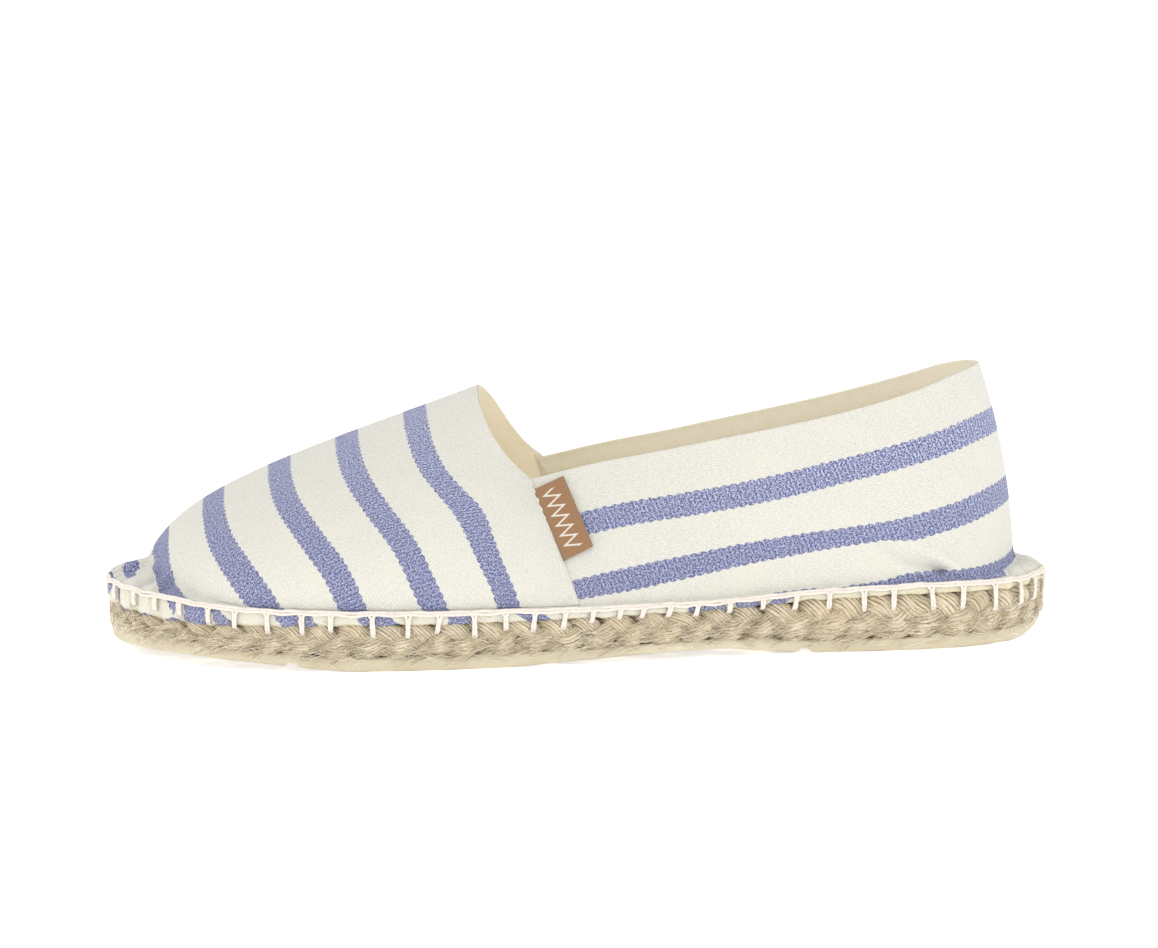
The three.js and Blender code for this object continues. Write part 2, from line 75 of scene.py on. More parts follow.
# Columns: place along the shoe as a share of its length from the heel tip, the width that the row
# follows, and the outer and inner edges as shares of that width.
OUTLINE_ROWS = np.array([
    (0.98, BALL_WIDTH, 0.13, -0.25),
    (0.93, BALL_WIDTH, 0.29, -0.378),
    (0.86, BALL_WIDTH, 0.407, -0.461),
    (0.76, BALL_WIDTH, 0.484, -0.499),
    (0.67, BALL_WIDTH, 0.499, -0.49),
    (0.56, BALL_WIDTH, 0.472, -0.432),
    (0.42, WAIST_WIDTH, 0.56, -0.47),
    (0.28, HEEL_WIDTH, 0.505, -0.492),
    (0.16, HEEL_WIDTH, 0.49, -0.488),
    (0.08, HEEL_WIDTH, 0.427, -0.413),
    (0.028, HEEL_WIDTH, 0.278, -0.265),
])
TOE_TIP_INNER = -0.065

# Columns: place along the shoe, underside above the floor, rubber as a share of its thickness, width of
# the rounded lower edge, top of the canvas edge, and how far the canvas hangs down from there.
SOLE_ROWS = np.array([
    (0, HEEL_TIP_LIFT, 1.35, HEEL_BEVEL, 1.03 * HEEL_EDGE_HEIGHT, 3.2),
    (0.04, 0, 1.15, 0.7 * HEEL_BEVEL, 1.01 * HEEL_EDGE_HEIGHT, 3.1),
    (0.14, 0, 0.95, SIDE_BEVEL, HEEL_EDGE_HEIGHT, 2.9),
    (0.25, 0, 0.95, SIDE_BEVEL, 0.93 * HEEL_EDGE_HEIGHT, 2.8),
    (0.37, WAIST_LIFT, 0.7, SIDE_BEVEL, 1.02 * WAIST_EDGE_HEIGHT, 2.7),
    (0.5, 0.5 * WAIST_LIFT, 0.85, SIDE_BEVEL, WAIST_EDGE_HEIGHT, 3),
    (0.59, 0, 1, SIDE_BEVEL, BALL_EDGE_HEIGHT, 3.4),
    (0.73, 0, 1, SIDE_BEVEL, 1.03 * BALL_EDGE_HEIGHT, 3.7),
    (0.86, 0.68 * TOE_SPRING, 0.85, SIDE_BEVEL, 0.83 * TOE_EDGE_HEIGHT, 5),
    (0.95, TOE_SPRING, 1, SIDE_BEVEL, 0.94 * TOE_EDGE_HEIGHT, 6.8),
    (1, TOE_SPRING, 1.25, SIDE_BEVEL, TOE_EDGE_HEIGHT, 6.8),
])


def smooth_column(table, column):
    """A smooth function of a table's first column: cubic pieces through the rows, whose slope at a row is
    the harmonic mean of the steps beside it, or zero at a turning point."""
    x = table[:, 0]
    y = table[:, column]
    steps = np.diff(y) / np.diff(x)
    before = np.r_[steps[0], steps]
    after = np.r_[steps, steps[-1]]
    same_way = before * after > 0
    slopes = np.where(same_way, 2 * before * after / np.where(same_way, before + after, 1), 0)

    def value(at):
        v = np.clip(at, x[0], x[-1])
        k = np.clip(np.searchsorted(x, v) - 1, 0, len(x) - 2)
        width = x[k + 1] - x[k]
        s = (v - x[k]) / width
        rest = 1 - s
        low = rest * rest * ((1 + 2 * s) * y[k] + s * width * slopes[k])
        high = s * s * ((3 - 2 * s) * y[k + 1] - rest * width * slopes[k + 1])
        return low + high

    return value


def curve_through(points, closed):
    """A function from a share of the length to a point of the centripetal Catmull-Rom curve through the
    points, and that length. Each piece is a cubic between two points, timed by the root of its chord."""
    points = np.asarray(points, float)
    if closed:
        line = np.concatenate([points[-1:], points, points[:2]])
    else:
        line = np.concatenate([2 * points[:1] - points[1:2], points, 2 * points[-1:] - points[-2:-1]])
    pieces = len(line) - 3
    gaps = np.linalg.norm(np.diff(line, axis=0), axis=1)[:, None] ** 0.5
    time = np.linspace(0, pieces, 8001)
    k = np.minimum(time.astype(int), pieces - 1)
    s = (time - k)[:, None]
    p0, p1, p2, p3 = (line[k + i] for i in range(4))
    g0, g1, g2 = (gaps[k + i] for i in range(3))
    leave = ((p1 - p0) / g0 - (p2 - p0) / (g0 + g1) + (p2 - p1) / g1) * g1
    arrive = ((p2 - p1) / g1 - (p3 - p1) / (g1 + g2) + (p3 - p2) / g2) * g1
    dense = p1 + s * (leave + s * (3 * (p2 - p1) - 2 * leave - arrive + s * (2 * (p1 - p2) + leave + arrive)))
    run = np.r_[0, np.cumsum(np.linalg.norm(np.diff(dense, axis=0), axis=1))]

    def at(share):
        return np.stack([np.interp(np.asarray(share) * run[-1], run, dense[:, i]) for i in range(3)], -1)

    return at, run[-1]


outline_x = (OUTLINE_ROWS[:, 0] - 0.5) * SHOE_LENGTH
outer_side = np.stack([outline_x, OUTLINE_ROWS[:, 1] * OUTLINE_ROWS[:, 2], 0 * outline_x], -1)
inner_side = np.stack([outline_x, OUTLINE_ROWS[:, 1] * OUTLINE_ROWS[:, 3], 0 * outline_x], -1)
toe_tip = [[SHOE_LENGTH / 2, TOE_TIP_INNER * BALL_WIDTH, 0]]
heel_tip = [[-SHOE_LENGTH / 2, 0, 0]]
outline, EDGE_LENGTH = curve_through(np.concatenate([toe_tip, outer_side, heel_tip, inner_side[::-1]]), True)
under_height, rubber_share, bevel_width, edge_height, hem_hang = (smooth_column(SOLE_ROWS, k) for k in range(1, 6))


def mixed(low, high, share):
    """A straight way from low to high."""
    return low + (high - low) * share


def eased(distance, run):
    """1 where distance is 0, falling smoothly to 0 where it reaches run."""
    t = np.clip(1 - distance / run, 0, 1)
    return t * t * (3 - 2 * t)


def stations(share):
    """Places round the sole's edge, from the toe tip (0) along the outer side to the heel (0.5) and back,
    with the plan direction that points outwards, the tangent turned by a quarter, and the heights there."""
    u = np.mod(share, 1)
    step = 0.4 / EDGE_LENGTH
    tangent = outline(np.mod(u + step, 1)) - outline(np.mod(u - step, 1))
    tangent /= np.linalg.norm(tangent, axis=-1, keepdims=True)
    place = outline(u)
    at = place[..., 0] / SHOE_LENGTH + 0.5
    rim = edge_height(at) - HEEL_DROOP * eased(np.abs(u - 0.5) * EDGE_LENGTH, HEEL_DROOP_RUN)
    return SimpleNamespace(
        share=u,
        place=place,
        tangent=tangent,
        outwards=np.stack([tangent[..., 1], -tangent[..., 0], 0 * u], -1),
        under=under_height(at),
        bevel=bevel_width(at),
        rubber_top=under_height(at) + RUBBER_THICKNESS * rubber_share(at),
        edge=edge_height(at),
        rim=rim,
        hem_foot=rim - hem_hang(at),
        to_toe=np.minimum(u, 1 - u) * EDGE_LENGTH,
        to_heel=np.abs(u - 0.5) * EDGE_LENGTH,
    )


def inside(s, inset, height):
    """The points that lie inset from the sole's edge, at a height."""
    points = s.place - s.outwards * np.asarray(inset)[..., None]
    points[..., 2] = height
    return points


def uneven(share, waves, seed):
    """A smooth uneven line round the sole, between about -1 and 1: a sum of sines that close on
    themselves, from a few up to the given number of waves round the shoe."""
    rng = np.random.default_rng(seed)
    counts = np.unique(np.linspace(waves / 4, waves, 9).astype(int))
    phases = rng.uniform(0, 2 * np.pi, len(counts))
    return np.sin(2 * np.pi * counts * np.asarray(share)[..., None] + phases).sum(-1) / math.sqrt(len(counts) * 2)


def quads(rows, columns, wrap_rows=False, wrap_columns=False):
    """The corner numbers of a grid's faces, row by row, joined to its start where it wraps."""
    i = np.arange(rows if wrap_rows else rows - 1)[:, None]
    j = np.arange(columns if wrap_columns else columns - 1)[None, :]
    next_i = (i + 1) % rows
    next_j = (j + 1) % columns
    corners = [i * columns + j, i * columns + next_j, next_i * columns + next_j, next_i * columns + j]
    return np.stack(corners, -1).reshape(-1, 4)


def new_piece(name, points, faces, finishes, cloth_map=None, marks=None, finish_numbers=None):
    """A smooth mesh object at the origin, from points in millimetres and quads. cloth_map holds two
    numbers a point for its UV map, and marks one number a point for each attribute."""
    mesh = bpy.data.meshes.new(name)
    points = np.asarray(points, float).reshape(-1, 3)
    mesh.vertices.add(len(points))
    mesh.vertices.foreach_set("co", (points * 0.001).astype(np.float32).ravel())
    mesh.loops.add(faces.size)
    mesh.loops.foreach_set("vertex_index", faces.astype(np.int32).ravel())
    mesh.polygons.add(len(faces))
    mesh.polygons.foreach_set("loop_start", np.arange(0, faces.size, faces.shape[1], dtype=np.int32))
    if finish_numbers is not None:
        mesh.polygons.foreach_set("material_index", finish_numbers.astype(np.int32))
    mesh.update(calc_edges=True)
    mesh.polygons.foreach_set("use_smooth", np.ones(len(faces), bool))
    if cloth_map is not None:
        layer = mesh.uv_layers.new(name="cloth")
        corner_map = np.asarray(cloth_map, np.float32).reshape(-1, 2)[faces.ravel()]
        layer.data.foreach_set("uv", corner_map.ravel())
    for mark, values in (marks or {}).items():
        attribute = mesh.attributes.new(mark, "FLOAT", "POINT")
        attribute.data.foreach_set("value", np.asarray(values, np.float32).ravel())
    for finish in finishes:
        mesh.materials.append(finish)
    piece = bpy.data.objects.new(name, mesh)
    bpy.context.scene.collection.objects.link(piece)
    return piece


def weld(piece, distance=1e-6):
    """Merges the points of a piece that lie on each other, so that its seams and poles are closed."""
    import bmesh
    made = bmesh.new()
    made.from_mesh(piece.data)
    bmesh.ops.remove_doubles(made, verts=made.verts, dist=distance)
    bmesh.ops.dissolve_degenerate(made, edges=made.edges, dist=distance)
    made.to_mesh(piece.data)
    made.free()


class Wire:
    """An output of a material's node. Arithmetic on wires adds Math nodes, and node adds any other kind."""

    def __init__(self, tree, socket=None):
        self.tree = tree
        self.socket = socket

    def node(self, kind, settings=None, inputs=None, output=0):
        """Adds a node, sets its settings and then its inputs, each a value or a wire."""
        made = self.tree.nodes.new("ShaderNode" + kind)
        for name, value in (settings or {}).items():
            if name == "stops":
                ramp = made.color_ramp
                while len(ramp.elements) < len(value):
                    ramp.elements.new(1)
                for element, (place, colour) in zip(ramp.elements, value):
                    element.position = place
                    element.color = colour
            else:
                setattr(made, name, value)
        for name, value in (inputs or {}).items():
            if isinstance(value, Wire):
                self.tree.links.new(value.socket, made.inputs[name])
            else:
                made.inputs[name].default_value = value
        return Wire(self.tree, made.outputs[output])

    def math(self, operation, *others):
        return self.node("Math", {"operation": operation}, dict(enumerate((self, *others))))

    def __add__(self, other):
        return self.math("ADD", other)

    def __sub__(self, other):
        return self.math("SUBTRACT", other)

    def __rsub__(self, other):
        return self.node("Math", {"operation": "SUBTRACT"}, {0: other, 1: self})

    def __mul__(self, other):
        return self.math("MULTIPLY", other)

    __radd__ = __add__
    __rmul__ = __mul__

    def between(self, low, high):
        """0 below low, 1 above high, and a smooth step from one to the other."""
        settings = {"interpolation_type": "SMOOTHSTEP"}
        return self.node("MapRange", settings, {0: self, 1: low, 2: high, 3: 0.0, 4: 1.0})

    def noise(self, vector, scale, detail=2.0, roughness=0.5):
        inputs = {"Vector": vector, "Scale": scale, "Detail": detail, "Roughness": roughness}
        return self.node("TexNoise", {}, inputs)

    def stretched(self, vector, x, y, z):
        """The vector with each of its parts multiplied by its own number."""
        return self.node("VectorMath", {"operation": "MULTIPLY"}, {0: vector, 1: (x, y, z)})

    def tint(self, first, second):
        """A colour that goes from first to second as the wire goes from 0 to 1."""
        return self.node("Mix", {"data_type": "RGBA"}, {0: self, 6: first, 7: second}, 2)


def paint(red, green, blue):
    """A screen colour of 0 to 255 a part as the linear colour that shaders use."""
    parts = [part / 255 for part in (red, green, blue)]
    return (*(((part + 0.055) / 1.055) ** 2.4 for part in parts), 1.0)


def new_finish(name, roughness, sheen=0.0):
    """A material, the wire that starts its nodes and its shader, with the finish's fixed numbers set."""
    material = bpy.data.materials.new(name)
    material.use_nodes = True
    tree = material.node_tree
    shader = tree.nodes["Principled BSDF"]
    shader.inputs["Roughness"].default_value = roughness
    shader.inputs["Specular IOR Level"].default_value = 0.25
    shader.inputs["Sheen Weight"].default_value = sheen
    shader.inputs["Sheen Roughness"].default_value = 0.6
    return material, Wire(tree), shader


def connect(wire, shader, name):
    """Leads a wire to one of a shader's inputs."""
    wire.tree.links.new(wire.socket, shader.inputs[name])


def raise_surface(start, shader, height, depth, strength=1.0):
    """Lets a height from 0 to 1, worth depth in metres, turn the shader's normals."""
    inputs = {"Height": height, "Distance": depth, "Strength": strength}
    connect(start.node("Bump", {}, inputs), shader, "Normal")


def rubber_finish():
    """Matt beige rubber: cloudy, a little darker low on its side, with mould grain. Dark dashes at its foot
    are partly the tread and partly a painted contact shadow.
    """
    material, start, shader = new_finish("rubber", 0.62)
    place = start.node("TexCoord", {}, {}, 3)
    clouds = start.noise(place, 55.0, 4.0)
    grain = start.noise(place, 900.0, 3.0)
    specks = start.noise(place, 420.0, 2.0).between(0.66, 0.74)
    height = start.node("SeparateXYZ", {}, {0: place}, 2)
    low = 1 - height.between(0.0004, 0.0035)
    body = clouds.between(0.3, 0.7).tint(paint(192, 182, 157), paint(204, 195, 172))
    darker_low = (low * 0.35).tint(body, paint(176, 165, 140))
    # Dark dashes at the rubber's foot: partly the tread, partly a painted contact shadow.
    dashes = start.noise(place, 160.0, 2.0).between(0.42, 0.56)
    with_tread_and_shadow = (start.node("Attribute", {"attribute_name": "tread"}, {}, 2) * dashes * 0.8).tint(darker_low, paint(96, 86, 68))
    connect((specks * 0.35).tint(with_tread_and_shadow, paint(163, 149, 122)), shader, "Base Color")
    raise_surface(start, shader, grain * 0.6 + clouds, 0.0003, 0.5)
    return material


def channel_roof(x):
    """How far the underside is raised at x: level over a channel, sloping in its flared mouth."""
    distance = np.min([np.abs(x - place) for place in CHANNEL_PLACES], axis=0)
    mouth = np.clip((CHANNEL_HALF_WIDTH + CHANNEL_FLARE - distance) / CHANNEL_FLARE, 0, 1)
    return np.where(distance < CHANNEL_HALF_WIDTH, 1, 0.5 * mouth) * CHANNEL_DEPTH


def outsole_piece():
    """Cross sections from toe to heel. Each is a loop: the rounded side on the outer edge, the top, the
    side on the inner edge and the underside, which is raised along the channels."""
    fine = np.concatenate([place + np.arange(-4, 4.1, 0.3) for place in CHANNEL_PLACES])
    even = SHOE_LENGTH / 2 * np.cos(np.linspace(0, np.pi, 300))
    x = np.unique(np.r_[even, fine])[::-1]
    dense = np.linspace(0, 0.5, 6001)
    outer_x = np.minimum.accumulate(outline(dense)[:, 0])
    inner_x = np.minimum.accumulate(outline(1 - dense)[:, 0])
    outer = np.interp(-x, -outer_x, dense)
    inner = 1 - np.interp(-x, -inner_x, dense)

    def side(share):
        s = stations(share)
        toe = eased(s.to_toe, TOE_CREEP_RUN)
        creep = RUBBER_CREEP * np.maximum(0, uneven(share, 90, 5)) * (1 - 0.5 * toe) + TOE_CREEP * toe
        slant = 1.7 * HEEL_SLANT * eased(s.to_heel, HEEL_SLANT_RUN)
        setback = RUBBER_SETBACK + slant
        face = setback - 0.95 * toe
        turns = np.linspace(0, np.pi / 2, 6)
        rounding = np.minimum(0.9 * s.bevel, s.rubber_top - s.under - 0.6)
        rows = [inside(s, setback + s.bevel * (1 - np.sin(a)), s.under + rounding * (1 - np.cos(a)))
                for a in turns]
        rows.append(inside(s, mixed(setback, face, 0.7), s.rubber_top - 0.5))
        rows.append(inside(s, face, s.rubber_top - 0.2 + creep))
        rows.append(inside(s, face + 0.35, s.rubber_top + 0.1 + creep))
        rows.append(inside(s, face + 1.2, s.rubber_top + 0.1 + creep))
        rows.append(inside(s, 0 * face + 5, s.rubber_top))
        return np.array(rows)

    outer_rows = side(outer)
    inner_rows = side(inner)
    across = np.linspace(0, 1, 14)[1:-1, None, None]
    top = outer_rows[-1] + across * (inner_rows[-1] - outer_rows[-1])
    bottom = inner_rows[0] + across * (outer_rows[0] - inner_rows[0])
    loop = np.concatenate([outer_rows, top, inner_rows[::-1], bottom])
    shift = stations(outer).under + channel_roof(x)
    raised = channel_roof(loop[..., 0]) + under_height(loop[..., 0] / SHOE_LENGTH + 0.5)
    over_channel = channel_roof(loop[..., 0]) > 0
    low = loop[..., 2] < np.minimum(raised, shift + CHANNEL_DEPTH)
    loop[..., 2] = np.where(over_channel & low, raised, loop[..., 2])
    faces = quads(len(loop), len(x), wrap_rows=True)
    # The rows round the underside get the mark for dark dashes that paint the tread and the contact shadow.
    tread = np.zeros(loop.shape[:2])
    tread[:2] = 1
    tread[len(loop) - len(bottom) - 2:] = 1
    piece = new_piece("rubber_outsole", loop, faces, [rubber_finish()], None, {"tread": tread})
    weld(piece)
    return piece


rubber_outsole = outsole_piece()
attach(rubber_outsole, "root")
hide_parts("outsole")

# The rope sole: a flat plait of three bast strands wound round and round into a sole. Only its last round
# shows, edge on, as two rows of lobes that slant against each other, with dark pits between them. Each
# strand is eighteen loose yarns, and short fibres stick out everywhere.
LOBE_PITCH = 8.6
ROPE_INSET = 2.3
ROPE_WEAVE = 1.15
STRAND_HALF_DEPTH = 1.65
STRAND_YARNS = 18
YARN_GROOVE = 0.15
YARN_SPREAD = 0.24
YARN_TWIST = -0.13
HIDDEN_ABOVE = 1.9
HIDDEN_BELOW = 0.9
FIBRE_COUNT = 8000
UPPER_FIBRES = 0.3
CORE_INSET = 3.4

plait_turns = round(EDGE_LENGTH / (3 * LOBE_PITCH))


def jute_finish(name, light, dark, pit):
    """Dry bast yarn: pale and dark fibres drawn out along the strand, with painted shade between the yarns and
    painted brown shade in the pits."""
    material, start, shader = new_finish(name, 0.88, 0.15)
    cloth = start.node("UVMap", {"uv_map": "cloth"})
    fibres = start.noise(start.stretched(cloth, 0.4, 1.9, 1), 1.0, 3.0, 0.8)
    streaks = start.noise(start.stretched(cloth, 0.1, 0.6, 1), 1.0, 2.0)
    deep = start.node("Attribute", {"attribute_name": "pit"}, {}, 2)
    groove = start.node("Attribute", {"attribute_name": "groove"}, {}, 2)
    place = start.node("TexCoord", {}, {}, 3)
    clouds = start.noise(place, 60.0, 3.0)
    tone = (fibres * 0.6 + streaks * 0.4).between(0.34, 0.58)
    body = tone.tint(dark, light)
    cloudy = (clouds.between(0.5, 0.75) * 0.4).tint(body, paint(203, 178, 138))
    broken = start.noise(start.stretched(cloth, 0.35, 1.5, 1), 1.0, 3.0).between(0.38, 0.6)
    felt = start.node("Attribute", {"attribute_name": "felt"}, {}, 2)
    # Painted shade along the grooves between the yarns, broken here and there.
    lined = (groove * (broken * 0.8 + 0.15) * (1 - felt * 0.5)).tint(cloudy, paint(104, 82, 52))
    straws = start.noise(start.stretched(place, 700, 1500, 2300), 1.0, 3.0, 0.8)
    felted = (straws.between(0.45, 0.62) * felt * 0.7).tint(lined, paint(228, 216, 188))
    specks = (1 - straws.between(0.34, 0.46)) * (felt * 0.6 + 0.15)
    dotted = specks.tint(felted, paint(120, 96, 60))
    # Painted shade: brown in the pits and the deeper hollows of the plait, broken up by the fibres.
    gaps = (deep + (fibres - 0.5) * 1.2).between(0.25, 1.0)
    connect(gaps.tint(dotted, pit), shader, "Base Color")
    raise_surface(start, shader, fibres + streaks * 0.5 + straws * felt, 0.0005, 0.9)
    return material


def rope_band(s):
    """The middle height of the plait and half its height. It goes on a little behind rubber and hem."""
    foot = s.rubber_top - HIDDEN_BELOW
    top = s.hem_foot + HIDDEN_ABOVE
    return (foot + top) / 2, (top - foot) / 2


def heel_slant(s, height):
    """How much further in the plait lies round the heel, where its side slopes: none at its top and twice
    the slant at its foot."""
    middle, half = rope_band(s)
    return HEEL_SLANT * eased(s.to_heel, HEEL_SLANT_RUN) * np.clip((middle + half - height) / half, 0, 2)


def strand(number):
    """One strand of the plait as a tube. Its middle line rises and falls as a sine while it weaves out and
    in twice as often, and its section is a flat ellipse with a ring of round yarns. The grid's lines twist
    along with the yarns. Marks paint shade: darker the deeper a point lies, and along the groove between
    two yarns."""
    steps = round(EDGE_LENGTH)
    share = np.arange(steps) / steps
    s = stations(share)
    phase = 2 * np.pi * (plait_turns * share + number / 3) + 0.25 * uneven(share, 60, 70 + number)
    middle, half = rope_band(s)
    loose = 1 + 0.08 * uneven(share, 70, 40 + number)
    height = middle + 0.5 * half * np.sin(phase) * loose
    under_hem = np.clip(np.sin(phase), 0, 1) ** 3
    inset = ROPE_INSET + ROPE_WEAVE * np.sin(2 * phase) + 0.9 * under_hem + 0.12 * uneven(share, 90, number)
    inset += heel_slant(s, height)
    centre = inside(s, inset, height)
    ahead = np.roll(centre, -1, axis=0) - np.roll(centre, 1, axis=0)
    ahead /= np.linalg.norm(ahead, axis=1, keepdims=True)
    out = s.outwards - ahead * (s.outwards * ahead).sum(1, keepdims=True)
    out /= np.linalg.norm(out, axis=1, keepdims=True)
    up = np.cross(out, ahead)
    sides = 3 * STRAND_YARNS
    turns = round(YARN_TWIST * EDGE_LENGTH / (2 * np.pi))
    rng = np.random.default_rng(80 + number)
    bounds = np.arange(STRAND_YARNS) + rng.uniform(-YARN_SPREAD, YARN_SPREAD, STRAND_YARNS)
    widths = np.diff(np.r_[bounds, bounds[0] + STRAND_YARNS])
    spots = (bounds[:, None] + widths[:, None] * [0, 0.27, 0.73]).ravel() / STRAND_YARNS
    strayed = 0.02 * uneven(share, 110, 90 + number)
    angle = 2 * np.pi * (spots + (turns * share + strayed)[:, None])
    crest = np.tile([-1.0, 0.6, 0.6], STRAND_YARNS)
    swell = 1 + YARN_GROOVE / STRAND_HALF_DEPTH * crest[None, :] + 0.06 * uneven(share, 240, 60 + number)[:, None]
    flat = out[:, None] * (STRAND_HALF_DEPTH * np.cos(angle) * swell)[..., None]
    tall = up[:, None] * ((0.46 * half)[:, None] * np.sin(angle) * swell)[..., None]
    points = centre[:, None] + flat + tall
    along = np.broadcast_to((share * EDGE_LENGTH)[:, None], angle.shape)
    around = np.broadcast_to(spots * 18, angle.shape) + 31 * number
    deep = -((points - s.place[:, None]) * s.outwards[:, None]).sum(-1)
    up_share = (points[..., 2] - middle[:, None]) / half[:, None]
    # The pit mark is painted shade: darker the deeper a point lies behind the plait's face, and in the pits halfway
    # up.
    pit = np.clip((deep - 0.5) / 2.2 + 0.5 * np.exp(-((up_share / 0.25) ** 2)) * np.clip(deep - 0.9, 0, 1), 0, 1)
    # The groove mark paints shade along the groove between two yarns.
    groove = np.broadcast_to(np.tile([1.0, 0.05, 0.05], STRAND_YARNS), angle.shape)
    felt = np.clip(0.35 - 1.2 * up_share, 0, 1)
    maps = np.stack([along, around], -1).reshape(-1, 2)
    return points.reshape(-1, 3), maps, pit.ravel(), groove.ravel(), felt.ravel(), (steps, sides)


def plait_piece():
    """The three strands of the plait in one mesh."""
    parts = [strand(number) for number in range(3)]
    sizes = [len(points) for points, *_ in parts]
    starts = np.r_[0, np.cumsum(sizes)[:-1]]
    faces = np.concatenate([
        quads(*shape, wrap_rows=True, wrap_columns=True) + start
        for (*_, shape), start in zip(parts, starts)
    ])
    finish = jute_finish("jute", paint(226, 213, 186), paint(200, 183, 151), paint(92, 72, 46))
    points, cloth_map, pit, groove, felt = (np.concatenate([part[k] for part in parts]) for k in range(5))
    marks = {"pit": pit, "groove": groove, "felt": felt}
    return new_piece("rope_plait", points, faces, [finish], cloth_map, marks)


def core_piece():
    """The inner rounds of the sole behind the plait: rings from the underside to the top, closed by strips
    across. Their jute is a darker copy of the plait's, painted shade for where they lie deep behind it."""
    share = np.linspace(0, 0.5, 181)
    rows = []
    for side in (share, 1 - share):
        s = stations(side)
        rows.append(np.array([
            inside(s, CORE_INSET + 1, s.rubber_top + 0.1),
            inside(s, CORE_INSET, s.rubber_top + 1),
            inside(s, CORE_INSET, s.hem_foot - 0.4),
            inside(s, CORE_INSET + 0.4, s.edge - 1.9),
        ]))
    loop = np.concatenate([rows[0], rows[1][::-1]])
    faces = quads(len(loop), len(share), wrap_rows=True)
    cloth_map = loop[..., :2] * (1, 0.4)
    # A darker copy of the plait's jute: painted shade for the rounds that lie behind the plait.
    finish = jute_finish("inner_jute_shaded", paint(150, 128, 92), paint(112, 92, 62), paint(84, 68, 44))
    piece = new_piece("rope_core", loop, faces, [finish], cloth_map, {"pit": np.full(loop.shape[:2], 0.4)})
    weld(piece)
    return piece


def fibre_finish():
    """Single bast fibres, each a little paler or darker."""
    material, start, shader = new_finish("fibre", 0.7, 0.2)
    tone = start.node("Attribute", {"attribute_name": "tone"}, {}, 2)
    pale = tone.between(0.2, 1.0).tint(paint(200, 180, 141), paint(246, 237, 217))
    connect((1 - tone.between(0.16, 0.22)).tint(pale, paint(132, 106, 68)), shader, "Base Color")
    return material


def fibre_piece():
    """Loose fibres: thin three-sided threads on bowed paths that start in the plait and run along it."""
    rng = np.random.default_rng(17)
    share = rng.uniform(0, 1, FIBRE_COUNT)
    s = stations(share)
    middle, half = rope_band(s)
    upper = rng.uniform(0, 1, FIBRE_COUNT) < UPPER_FIBRES
    length = rng.uniform(1.2, 4.8, FIBRE_COUNT) * rng.choice([-1, 1], FIBRE_COUNT) * np.where(upper, 0.5, 1)
    lower_place = rng.triangular(-1.15, -0.5, 0.35, FIBRE_COUNT)
    height = middle + half * np.where(upper, rng.uniform(-0.2, 0.95, FIBRE_COUNT), lower_place)
    rise = np.where(upper, -0.85, 0.25) * length + rng.normal(0, 1, FIBRE_COUNT) * np.where(upper, 0.2, 1.1)
    at_ends = eased(np.minimum(s.to_toe, s.to_heel), 34)
    bow = 0.25 + rng.uniform(0, 1, FIBRE_COUNT) ** 4 * 0.9 * (1 - 0.8 * at_ends)
    droop = rng.normal(-0.2, 0.5, FIBRE_COUNT)
    joints = np.linspace(0, 1, 5)
    t = joints[:, None]
    path_share = share + t * length / EDGE_LENGTH
    path = stations(path_share)
    z = height + t * rise + t * t * droop
    inset = rng.uniform(-0.45, 0.5, FIBRE_COUNT) - 4 * t * (1 - t) * bow + heel_slant(s, height)
    centre = inside(path, np.maximum(inset, 0.7 * at_ends - 1.1), np.maximum(z, mixed(path.under + 0.9, path.rubber_top + 0.3, at_ends)))
    radius = rng.uniform(0.05, 0.14, FIBRE_COUNT) * np.where(upper, 0.7, 1) * (1 - 0.5 * t)
    turn = 2 * np.pi * np.arange(3) / 3
    ring = path.outwards[:, :, None] * np.cos(turn)[:, None] + np.array([0, 0, 1.0]) * np.sin(turn)[:, None]
    points = centre[:, :, None] + ring * radius[:, :, None, None]
    points = points.transpose(1, 0, 2, 3).reshape(-1, 3)
    single = quads(len(joints), 3, wrap_columns=True)
    starts = np.arange(FIBRE_COUNT) * len(joints) * 3
    faces = (single[None] + starts[:, None, None]).reshape(-1, 4)
    tone = np.repeat(rng.uniform(0, 1, FIBRE_COUNT) ** 0.6, len(joints) * 3)
    return new_piece("loose_fibres", points, faces, [fibre_finish()], None, {"tone": tone})


rope_plait = plait_piece()
rope_core = core_piece()
loose_fibres = fibre_piece()
for piece in (rope_plait, rope_core, loose_fibres):
    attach(piece, "root")
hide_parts("rope_sole")

# The insole: a thin textile sock glued on the rope, inside the walls of the upper. It is the same beige
# twill as the lining, with a turned edge.
SIDE_LEDGE = 1.4
TOE_LEDGE = 11
HEEL_LEDGE = 8
TOE_LEDGE_RISE = 2.4
TOE_LEDGE_RUN = 62
HEEL_LEDGE_RUN = 40
CANVAS = 1.4
INSOLE_THICKNESS = 2
INSOLE_MARGIN = 0.1
INSOLE_ROUNDING = 0.7


def ledge_width(s):
    """How far the foot of the upper's wall stands in from the sole's edge."""
    toe = (TOE_LEDGE - SIDE_LEDGE) * eased(s.to_toe, TOE_LEDGE_RUN)
    heel = (HEEL_LEDGE - SIDE_LEDGE) * eased(s.to_heel, HEEL_LEDGE_RUN)
    return SIDE_LEDGE + toe + heel


